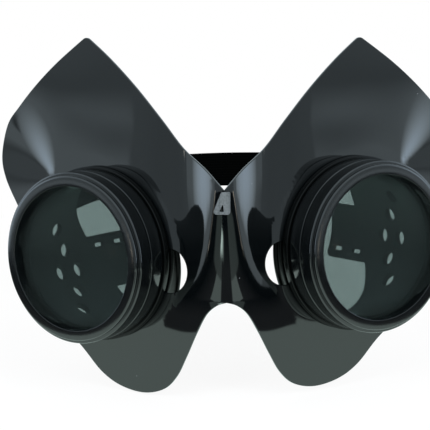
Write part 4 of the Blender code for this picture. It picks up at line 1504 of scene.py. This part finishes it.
@dataclass(frozen=True)
class HeadStrap:
    """The elastic, its two bar tacks and its slider."""

    goggle: Goggle
    width: float = 13.7 * MM
    thickness: float = 1.2 * MM
    gap: float = 0.3 * MM
    wrap_gap: float = 0.4 * MM
    back: float = 164.0 * MM
    straight: float = 48.0 * MM
    rise: float = 4.1 * MM
    sewn_tail: float = 22.0 * MM
    free_tail: float = 44.0 * MM
    swing: float = 10.0 * MM
    slider_wall: float = 1.6 * MM
    slider_bar: float = 1.0 * MM
    slider_length: float = 8.0 * MM
    slider_start: float = 12.0 * MM
    slider_round: float = 0.7 * MM
    edge_round: float = 0.45 * MM
    stitches: int = 16
    thread_sides: int = 8
    tack_length: float = 11.0 * MM
    tack_width: float = 0.9 * MM
    tack_height: float = 0.45 * MM
    tack_places: Point2 = (13.0 * MM, 19.0 * MM)
    tie_half: Point2 = (0.2 * MM, 0.25 * MM)
    tie_round: float = 0.1 * MM

    @property
    def wrap_radius(self) -> float:
        """Radius of the strap's middle where it turns round a lug's bar."""
        return (math.hypot(self.goggle.bar_width, self.goggle.lug_thickness) / 2 + self.wrap_gap
                + self.thickness / 2)

    def bar(self, side: Side) -> Vector:
        """Middle of a lug's bar.

        Args:
            side: which goggle's lug.

        Returns:
            The place.
        """
        out = self.goggle.slot_start + self.goggle.slot_width + self.goggle.bar_width / 2
        return self.goggle.form.goggle_matrix(side) @ Vector(
            (-out, 0.0, -(self.goggle.sheet_half + self.goggle.lug_depth)))

    def side_plan(self, side: Side, tail: float, layer_gap: float) -> list[Point2]:
        """Plan of one end, from its tail round the bar to the main run.

        Args:
            side: which end.
            tail: how far its tail runs back.
            layer_gap: the gap between the tail and the main run.

        Returns:
            The (x, y) points.
        """
        bar, inward = self.bar(side), -side.value
        radius = self.wrap_radius
        offset = 2 * radius - (self.thickness + layer_gap)
        points = [(bar.x + inward * (radius - offset), bar.y + self.swing
                   + (tail - self.swing) * share) for share in np.linspace(1.0, 0.0, 25)[:-1]]
        for share in np.linspace(1.0, 0.0, 17)[:-1]:
            points.append((bar.x + inward * (radius - offset * ease(share)),
                           bar.y + self.swing * share))
        for angle in np.linspace(0.0, math.pi, 33):
            points.append((bar.x + inward * radius * math.cos(angle),
                           bar.y - radius * math.sin(angle)))
        return [(float(x), float(y)) for x, y in points]

    def plan(self) -> Array:
        """Plan of the whole strap, from the sewn tail on the left to the free tail.

        Returns:
            The (x, y) points.
        """
        left = self.side_plan(Side.LEFT, self.sewn_tail, self.gap)
        right = self.side_plan(Side.RIGHT, self.free_tail, self.slider_bar + 2 * self.gap)
        start, half = left[-1][1] + self.straight, -left[-1][0]
        run = [(left[-1][0], y) for y in np.linspace(left[-1][1], start, 30)[1:-1]]
        loop = [(-half * math.cos(angle), start + (self.back - start) * math.sin(angle))
                for angle in np.linspace(0.0, math.pi, 161)]
        home = [(right[-1][0], y) for y in np.linspace(start, right[-1][1], 30)[1:-1]]
        return np.array(left + run + loop + home + right[::-1])

    def height(self, x: Array, y: Array) -> Array:
        """Height of the strap's middle: level beside the goggles, lifted at the back.

        Args:
            x: places across.
            y: places back.

        Returns:
            The heights.
        """
        start = self.bar(Side.LEFT).y + self.straight
        share = np.clip((y - start) / (self.back - start), 0.0, 1.0)
        lifted = ease(share)
        across = np.clip(x / self.goggle.form.hole_x(), -1.0, 1.0)
        return self.goggle.form.hole_stagger * across * (1.0 - lifted) + self.rise * lifted

    def elastic(self, finishes: Finishes) -> Object:
        """The woven elastic as one ribbon with soft edges and a weave map in millimetres.

        Args:
            finishes: every finish.

        Returns:
            The strap.
        """
        plan = self.plan()
        ahead = np.gradient(plan, axis=0)
        ahead /= np.linalg.norm(ahead, axis=1)[:, None]
        aside = np.stack([-ahead[:, 1], ahead[:, 0]], axis=1)
        travel = np.concatenate([[0.0], np.linalg.norm(np.diff(plan, axis=0), axis=1).cumsum()])
        half_w, half_t = self.width / 2, self.thickness / 2
        section = fillet([(-half_t, -half_w, self.edge_round), (half_t, -half_w, self.edge_round),
                          (half_t, half_w, self.edge_round), (-half_t, half_w, self.edge_round)],
                         4)
        points = []
        for place, side in zip(plan, aside):
            for off, up in section:
                x, y = place + side * off
                points.append((x, y, float(self.height(x, y)) + up))
        made = mesh_object("woven_elastic_strap", points,
                           swept_faces(len(plan), len(section), closed=False))
        with edited(made) as shape:
            bmesh.ops.recalc_face_normals(shape, faces=shape.faces)
            weave = shape.loops.layers.uv.new("weave")
            for corner in (corner for face in shape.faces for corner in face.loops):
                row, index = divmod(corner.vert.index, len(section))
                corner[weave].uv = (travel[row] / MM, section[index][1] / MM)
        sharpen(made, 60.0)
        return hand_over(dress(made, finishes.elastic), "mask", "strap", "elastic_strap")

    def slider(self, finishes: Finishes) -> Object:
        """The two-slot slider round both layers on the right.

        Args:
            finishes: every finish.

        Returns:
            The slider.
        """
        bar = self.bar(Side.RIGHT)
        main = bar.x + self.wrap_radius
        slot = self.thickness / 2 + self.gap
        tail = main - (self.thickness + self.slider_bar + 2 * self.gap)
        half_h, half_l = self.width / 2 + self.gap, self.slider_length / 2
        middle_y = bar.y + self.slider_start + half_l
        middle_z = float(self.height(np.array(bar.x), np.array(bar.y)))
        made = block("moulded_strap_slider",
                     (tail - slot - self.slider_wall, middle_y - half_l,
                      middle_z - half_h - self.slider_wall),
                     (main + slot + self.slider_wall, middle_y + half_l,
                      middle_z + half_h + self.slider_wall), self.slider_round)
        for at in (main, tail):
            combine(made, "DIFFERENCE",
                    block("slot", (at - slot, middle_y - half_l - CLEAR, middle_z - half_h),
                          (at + slot, middle_y + half_l + CLEAR, middle_z + half_h)))
        sharpen(made, 35.0)
        return hand_over(dress(made, finishes.slider), "slider", "slider", "strap_slider")

    @property
    def tack_sizes(self) -> dict[str, Union[int, float]]:
        """Values of the bar tack's named inputs."""
        return {"Stitches": self.stitches, "Length": self.tack_length,
                "Width": self.tack_width, "Thread Radius": self.tack_height / 2}

    def stitch_tree(self, finish: Material) -> bpy.types.GeometryNodeTree:
        """A tree that lays a bar tack: slanted turns of thread in a row.

        Args:
            finish: the thread's material.

        Returns:
            The tree, with named inputs for its sizes.
        """
        tree = bpy.data.node_groups.new("bar_tack", "GeometryNodeTree")
        for name, value in self.tack_sizes.items():
            kind = "NodeSocketInt" if isinstance(value, int) else "NodeSocketFloat"
            socket = tree.interface.new_socket(name, in_out="INPUT", socket_type=kind)
            socket.default_value = value
        tree.interface.new_socket("Geometry", in_out="OUTPUT", socket_type="NodeSocketGeometry")
        given = add_node(tree, "NodeGroupInput").outputs
        spacing, start, near, far = (
            add_node(tree, "ShaderNodeMath", [given[name], part], operation=operation)
            for operation, name, part in (
                ("DIVIDE", "Length", given["Stitches"]), ("MULTIPLY", "Length", -0.5),
                ("MULTIPLY", "Width", -0.5), ("MULTIPLY", "Width", 0.5)))
        first, pitch, low, high = (add_node(tree, "ShaderNodeCombineXYZ", parts) for parts in (
            {"Z": start}, {"Z": spacing}, {"Y": near}, {"Y": far, "Z": spacing}))
        row = add_node(tree, "GeometryNodeMeshLine", {
            "Count": given["Stitches"], "Start Location": first, "Offset": pitch})
        turn = add_node(tree, "GeometryNodeCurvePrimitiveLine", {"Start": low, "End": high})
        ring = add_node(tree, "GeometryNodeCurvePrimitiveCircle", {
            "Resolution": self.thread_sides, "Radius": given["Thread Radius"]})
        thread = add_node(tree, "GeometryNodeCurveToMesh", {
            "Curve": turn, "Profile Curve": ring, "Fill Caps": True})
        placed = add_node(tree, "GeometryNodeInstanceOnPoints", {
            "Points": row, "Instance": thread})
        real = add_node(tree, "GeometryNodeRealizeInstances", [placed])
        coat = add_node(tree, "GeometryNodeSetMaterial", {"Geometry": real, "Material": finish})
        add_node(tree, "NodeGroupOutput", [coat])
        return tree

    def tacks(self, finishes: Finishes) -> None:
        """The two bar tacks, on both faces of the sewn end, each with its ties through it.

        Args:
            finishes: every finish.
        """
        tree = self.stitch_tree(finishes.thread)
        identifiers = {item.name: item.identifier for item in tree.interface.items_tree}
        bar = self.bar(Side.LEFT)
        front = bar.x - self.wrap_radius - (self.thickness + self.tack_height) / 2 - self.gap
        back = front + 2 * self.thickness + 3 * self.gap + self.tack_height
        middle_z = float(self.height(np.array(bar.x), np.array(bar.y)))
        half_y, half_z = self.tie_half
        for node, along in zip(("strap_tack_front", "strap_tack_rear"), self.tack_places):
            y = bar.y + along
            parts = []
            for x in (front, back):
                row = mesh_object("tack_row", [], [])
                step = row.modifiers.new("stitches", "NODES")
                step.node_group = tree
                for name, value in self.tack_sizes.items():
                    step[identifiers[name]] = value
                evaluated_mesh(row)
                row.data.transform(Matrix.Translation((x, y, middle_z)))
                parts.append(row)
            parts.append(block("ties", (front, y - half_y, middle_z - half_z),
                               (back, y + half_y, middle_z + half_z), self.tie_round))
            shape = bmesh.new()
            for part in parts:
                shape.from_mesh(part.data)
                bpy.data.objects.remove(part)
            made = sharpen(from_bmesh(f"sewn_{node}", shape), 60.0)
            hand_over(dress(made, finishes.thread), "mask", "thread", node)


# Studio


@dataclass(frozen=True)
class Studio:
    """Floor, soft light and the camera at the photograph's angle."""

    camera_place: Point3 = (10.336 * MM, -566.41 * MM, 123.42 * MM)
    azimuth: float = math.radians(1.36)
    elevation: float = math.radians(10.731)
    roll: float = math.radians(-1.263)
    focal_pixels: float = 1800.0
    frame_pixels: float = 430.0
    sensor: float = 36.0
    floor_drop: float = 47.0 * MM
    floor_radius: float = 0.45
    table_half: float = 0.165
    table_front: float = 0.205
    table_edge: float = 2.0 * MM
    table_light: float = 1.6
    room_turn: float = 1.2
    lamp_light: float = 6.5
    ceiling_light: float = 1.5
    dark_light: float = 0.02
    soft_light: float = 0.7
    lamp_place: Point3 = (0.55, -0.55, 0.35)
    lamp_size: Point2 = (0.35, 0.7)
    lamp_power: float = 6.0

    def camera(self) -> None:
        """Put the camera where the photograph was taken."""
        data = bpy.data.cameras.new("photo_camera")
        data.sensor_width = self.sensor
        data.lens = self.focal_pixels / self.frame_pixels * self.sensor
        data.clip_start, data.clip_end = 0.01, 20.0
        holder = linked("photo_camera", data)
        ahead = Vector((-math.sin(self.azimuth) * math.cos(self.elevation),
                        math.cos(self.azimuth) * math.cos(self.elevation),
                        -math.sin(self.elevation)))
        level = ahead.cross(Vector((0.0, 0.0, 1.0))).normalized()
        upright = level.cross(ahead)
        right = level * math.cos(self.roll) + upright * math.sin(self.roll)
        turn = Matrix((right, right.cross(ahead), -ahead)).transposed().to_4x4()
        holder.matrix_world = Matrix.Translation(self.camera_place) @ turn
        bpy.context.scene.camera = holder

    def lamp(self, name: str, sign: int, colour: str = "eef3f8") -> None:
        """Add a rectangular soft light that looks at the goggles and shows in no gloss.

        Args:
            name: its name.
            sign: -1 for the left side and 1 for the right.
            colour: its sRGB colour.
        """
        data = bpy.data.lights.new(name, "AREA")
        data.shape = "RECTANGLE"
        data.size, data.size_y = self.lamp_size
        data.energy = self.lamp_power
        data.color = linear(colour)[:3]
        holder = linked(name, data)
        holder.location = (sign * self.lamp_place[0], *self.lamp_place[1:])
        holder.rotation_euler = (-holder.location).to_track_quat("-Z", "Y").to_euler()
        holder.visible_glossy = False

    @staticmethod
    def profile(tree: Tree, value: Feed, *stops: Point2) -> Node:
        """A strength that follows stops of (value, strength), level beyond the ends.

        Args:
            tree: the tree.
            value: what the strength follows.
            stops: the stops, by rising value.

        Returns:
            The node that gives it.
        """
        low, high = stops[0][0], stops[-1][0]
        top = max(strength for _, strength in stops)
        place = add_node(tree, "ShaderNodeMapRange", {
            "Value": value, "From Min": low, "From Max": high})
        ramp = add_node(tree, "ShaderNodeValToRGB", [place])
        elements = ramp.color_ramp.elements
        while len(elements) < len(stops):
            elements.new(0.5)
        for element, (at, strength) in zip(elements, stops):
            element.position = (at - low) / (high - low)
            element.color = (*(3 * (strength / top,)), 1.0)
        return add_node(tree, "ShaderNodeMath", [ramp, top], operation="MULTIPLY")

    @staticmethod
    def brightest(tree: Tree, *patches: Sequence[Feed]) -> Feed:
        """The brightest of some patches of light, each the product of its factors.

        Args:
            tree: the tree.
            patches: each patch's factors.

        Returns:
            What gives the strength.
        """
        light = None
        for patch, *factors in patches:
            for factor in factors:
                patch = add_node(tree, "ShaderNodeMath", [patch, factor], operation="MULTIPLY")
            light = patch if light is None else add_node(
                tree, "ShaderNodeMath", [light, patch], operation="MAXIMUM")
        return light

    def floor_light(self, tree: Tree, place: Socket) -> Feed:
        """How bright gloss sees the floor.

        The white table is bright but for a dark wedge straight ahead that starts 60 to 90 mm
        in front of the goggles. Pale carpet lies beyond its front edge on both sides of that
        wedge, the floor turns pale behind the goggles, and a lamp's glint lies ahead on the
        left. The rest is dark.

        Args:
            tree: the floor material's tree.
            place: where on the floor.

        Returns:
            What gives the strength.
        """
        axes = add_node(tree, "ShaderNodeSeparateXYZ", [place]).outputs
        aside = add_node(tree, "ShaderNodeMath", [axes["X"]], operation="ABSOLUTE")
        ahead = add_node(tree, "ShaderNodeMath", [axes["Y"], -1.0], operation="MULTIPLY")
        reach = add_node(tree, "ShaderNodeMath", [ahead, 1 * MM], operation="MAXIMUM")
        slant = add_node(tree, "ShaderNodeMath", [aside, reach], operation="DIVIDE")
        half, front, soft = self.table_half, self.table_front, self.table_edge
        side, out, forth, wedge = (partial(self.profile, tree, value)
                                   for value in (axes["X"], aside, ahead, slant))
        lanes = self.brightest(tree, [wedge((0.36, 0), (0.42, 1))],
                               [forth((60 * MM, 1), (90 * MM, 0))])
        return self.brightest(
            tree,
            [out((half - soft, 1), (half + soft, 0)), forth((front - soft, 1), (front + soft, 0)),
             lanes, self.table_light],
            [wedge((0.36, 0), (0.42, 0.6), (1.15, 0.6), (1.4, 0)),
             forth((front, 0), (front + soft, 1))],
            [forth((-0.30, 1), (-0.03, 0))],
            [side((-0.16, 0), (-0.14, 10), (-0.11, 10), (-0.08, 3), (-0.03, 0)),
             forth((0.25, 0), (0.275, 1), (0.31, 1), (0.335, 0))])

    def floor(self) -> None:
        """A pale floor that reads as white, keeps the object's shadow and ends in the white
        behind it. Gloss sees the light of floor_light instead."""
        rim = [(self.floor_radius * math.cos(turn), self.floor_radius * math.sin(turn),
                -self.floor_drop) for turn in np.linspace(0.0, math.tau, 97)[:-1]]
        ground = mesh_object("pale_floor", rim, [range(len(rim))])
        made = Finish("pale_studio_floor", "ffffff").build()
        made.cycles.emission_sampling = "NONE"
        tree = made.node_tree
        matt = tree.nodes["Principled BSDF"]
        feed(matt, {"Roughness": 0.9, "Specular IOR Level": 0.0})
        place = add_node(tree, "ShaderNodeTexCoord").outputs["Object"]
        ray = add_node(tree, "ShaderNodeLightPath").outputs
        seen = self.brightest(tree, [ray["Is Camera Ray"]], [ray["Is Transmission Ray"]])
        strength = add_node(tree, "ShaderNodeMix", {
            0: seen, 2: self.floor_light(tree, place), 3: 1.0})
        tint = add_node(tree, "ShaderNodeMix", {
            0: seen, 6: linear("e6fff7"), 7: linear("ffffff")}, data_type="RGBA")
        glow = add_node(tree, "ShaderNodeEmission", {
            "Color": tint.outputs[2], "Strength": strength})
        distance = add_node(tree, "ShaderNodeVectorMath", [place], operation="LENGTH")
        share = self.brightest(tree, [
            self.profile(tree, distance.outputs["Value"], (0.24, 0.9), (0.36, 1.0)),
            self.brightest(tree, [seen], [ray["Is Glossy Ray"]])])
        mix = add_node(tree, "ShaderNodeMixShader", [share, matt, glow])
        feed(tree.nodes["Material Output"], {"Surface": mix})
        ground.data.materials.append(made)

    def reflected_room(self, tree: Tree) -> tuple[Socket, Node]:
        """What gloss sees round the goggles, by degrees aside from straight ahead and up from
        level.

        The walls are dim straight ahead and pale from 24 degrees on. A narrow lamp stands at
        each side, only below level. Beyond it come a pale wall, a wide window and a wall
        behind that starts dim and ends pale, and the ceiling is bright. It is dark from 7
        degrees below level, but beside and behind only from 12 to 16 degrees.

        Args:
            tree: the world's tree.

        Returns:
            The room's colour and strength.
        """
        place = add_node(tree, "ShaderNodeTexCoord").outputs["Generated"]
        axes = add_node(tree, "ShaderNodeSeparateXYZ", [place]).outputs
        forward = add_node(tree, "ShaderNodeMath", [axes["Y"], -1.0], operation="MULTIPLY")
        aside, rise = axes["X"], axes["Z"]
        for operation, *parts in (("ARCTAN2", forward), ("DEGREES",), ("ADD", self.room_turn),
                                  ("ABSOLUTE",)):
            aside = add_node(tree, "ShaderNodeMath", [aside, *parts], operation=operation)
        for operation in ("ARCSINE", "DEGREES"):
            rise = add_node(tree, "ShaderNodeMath", [rise], operation=operation)
        out, up = (partial(self.profile, tree, value) for value in (aside, rise))
        strip = self.brightest(tree, [out((66.2, 0), (66.7, 1), (67.4, 1), (67.9, 0)),
                                      up((-6.0, 1), (-5.5, 0))])
        room = add_node(tree, "ShaderNodeMath", [
            out((0, 0.3), (18, 0.4), (24, 0.8), (58, 0.7), (69, 0.75)),
            self.brightest(tree, [strip, self.lamp_light])], operation="ADD")
        pane = out((76.5, 0), (83.5, 1), (92, 1), (100, 0))
        wall = up((-4.4, 1.34), (-3.2, 1.0), (-1.9, 0.67), (-1.3, 0.67), (0.0, 0.81))
        for light, share in ((wall, out((69.6, 0), (70.0, 1))), (self.lamp_light, pane),
                             (out((125, 0.2), (175, 1.0)), out((100, 0), (104, 1))),
                             (self.ceiling_light, up((4, 0), (22, 1)))):
            room = add_node(tree, "ShaderNodeMix", {0: share, 2: room, 3: light})
        above = self.brightest(tree, [out((76, 0), (77, 1)), up((-16, 0), (-12, 1))],
                               [up((-6.9, 0), (-6.6, 1))])
        tint = linear("e5f7ff")
        for share, colour in ((pane, "d2e8fc"), (strip, "fff0d8")):
            tint = add_node(tree, "ShaderNodeMix", {0: share, 6: tint, 7: linear(colour)},
                            data_type="RGBA").outputs[2]
        return tint, add_node(tree, "ShaderNodeMix", {0: above, 2: self.dark_light, 3: room})

    def world(self) -> None:
        """White behind the object, soft light for matt surfaces and a room for gloss."""
        world = bpy.data.worlds.new("pale_studio")
        bpy.context.scene.world = world
        world.use_nodes = True
        world.cycles.sampling_method = "NONE"
        tree = world.node_tree
        soft = tree.nodes["Background"]
        feed(soft, {"Color": linear("f4f6f8"), "Strength": self.soft_light})
        white = add_node(tree, "ShaderNodeBackground", {
            "Color": linear("ffffff"), "Strength": 1.0})
        tint, strength = self.reflected_room(tree)
        room = add_node(tree, "ShaderNodeBackground", {"Color": tint, "Strength": strength})
        ray = add_node(tree, "ShaderNodeLightPath").outputs
        lit = add_node(tree, "ShaderNodeMixShader", [ray["Is Glossy Ray"], soft, room])
        seen = self.brightest(tree, [ray["Is Camera Ray"]], [ray["Is Transmission Ray"]])
        mix = add_node(tree, "ShaderNodeMixShader", [seen, lit, white])
        feed(tree.nodes["World Output"], {"Surface": mix})

    def build(self) -> None:
        """Set the whole studio up."""
        bpy.context.scene.view_settings.view_transform = "Standard"
        self.world()
        self.floor()
        self.lamp("window_left", -1)
        self.lamp("window_right", 1)
        self.camera()


def dress_carried(finishes: Finishes) -> None:
    """Give the CAD nodes that stay their finishes.

    Args:
        finishes: every finish.
    """
    for side in Side:
        for label, finish, slot in (("clear_lens", finishes.clear, "clear_lens"),
                                    ("lens_gasket", finishes.rubber, "gasket")):
            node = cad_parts[f"{side.label}_{label}"]
            dress(node, finish)
            LOG.info("%s keeps its solid", node.name)


def write_sizes() -> None:
    """Bring the view layer up to date."""
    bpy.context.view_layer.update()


def main() -> None:
    """Build every sub-assembly in order, then the studio."""
    logging.basicConfig(level=logging.INFO, format="%(name)s: %(message)s")
    finishes = Finishes()
    form = MaskForm()
    goggle = Goggle(form)
    strap = HeadStrap(goggle)
    MaskSheet(form).build(finishes)
    DartTab(form).build(finishes)
    goggle.build(finishes)
    strap.elastic(finishes)
    strap.slider(finishes)
    strap.tacks(finishes)
    dress_carried(finishes)
    Studio().build()
    write_sizes()


if __name__ == "__main__":
    main()
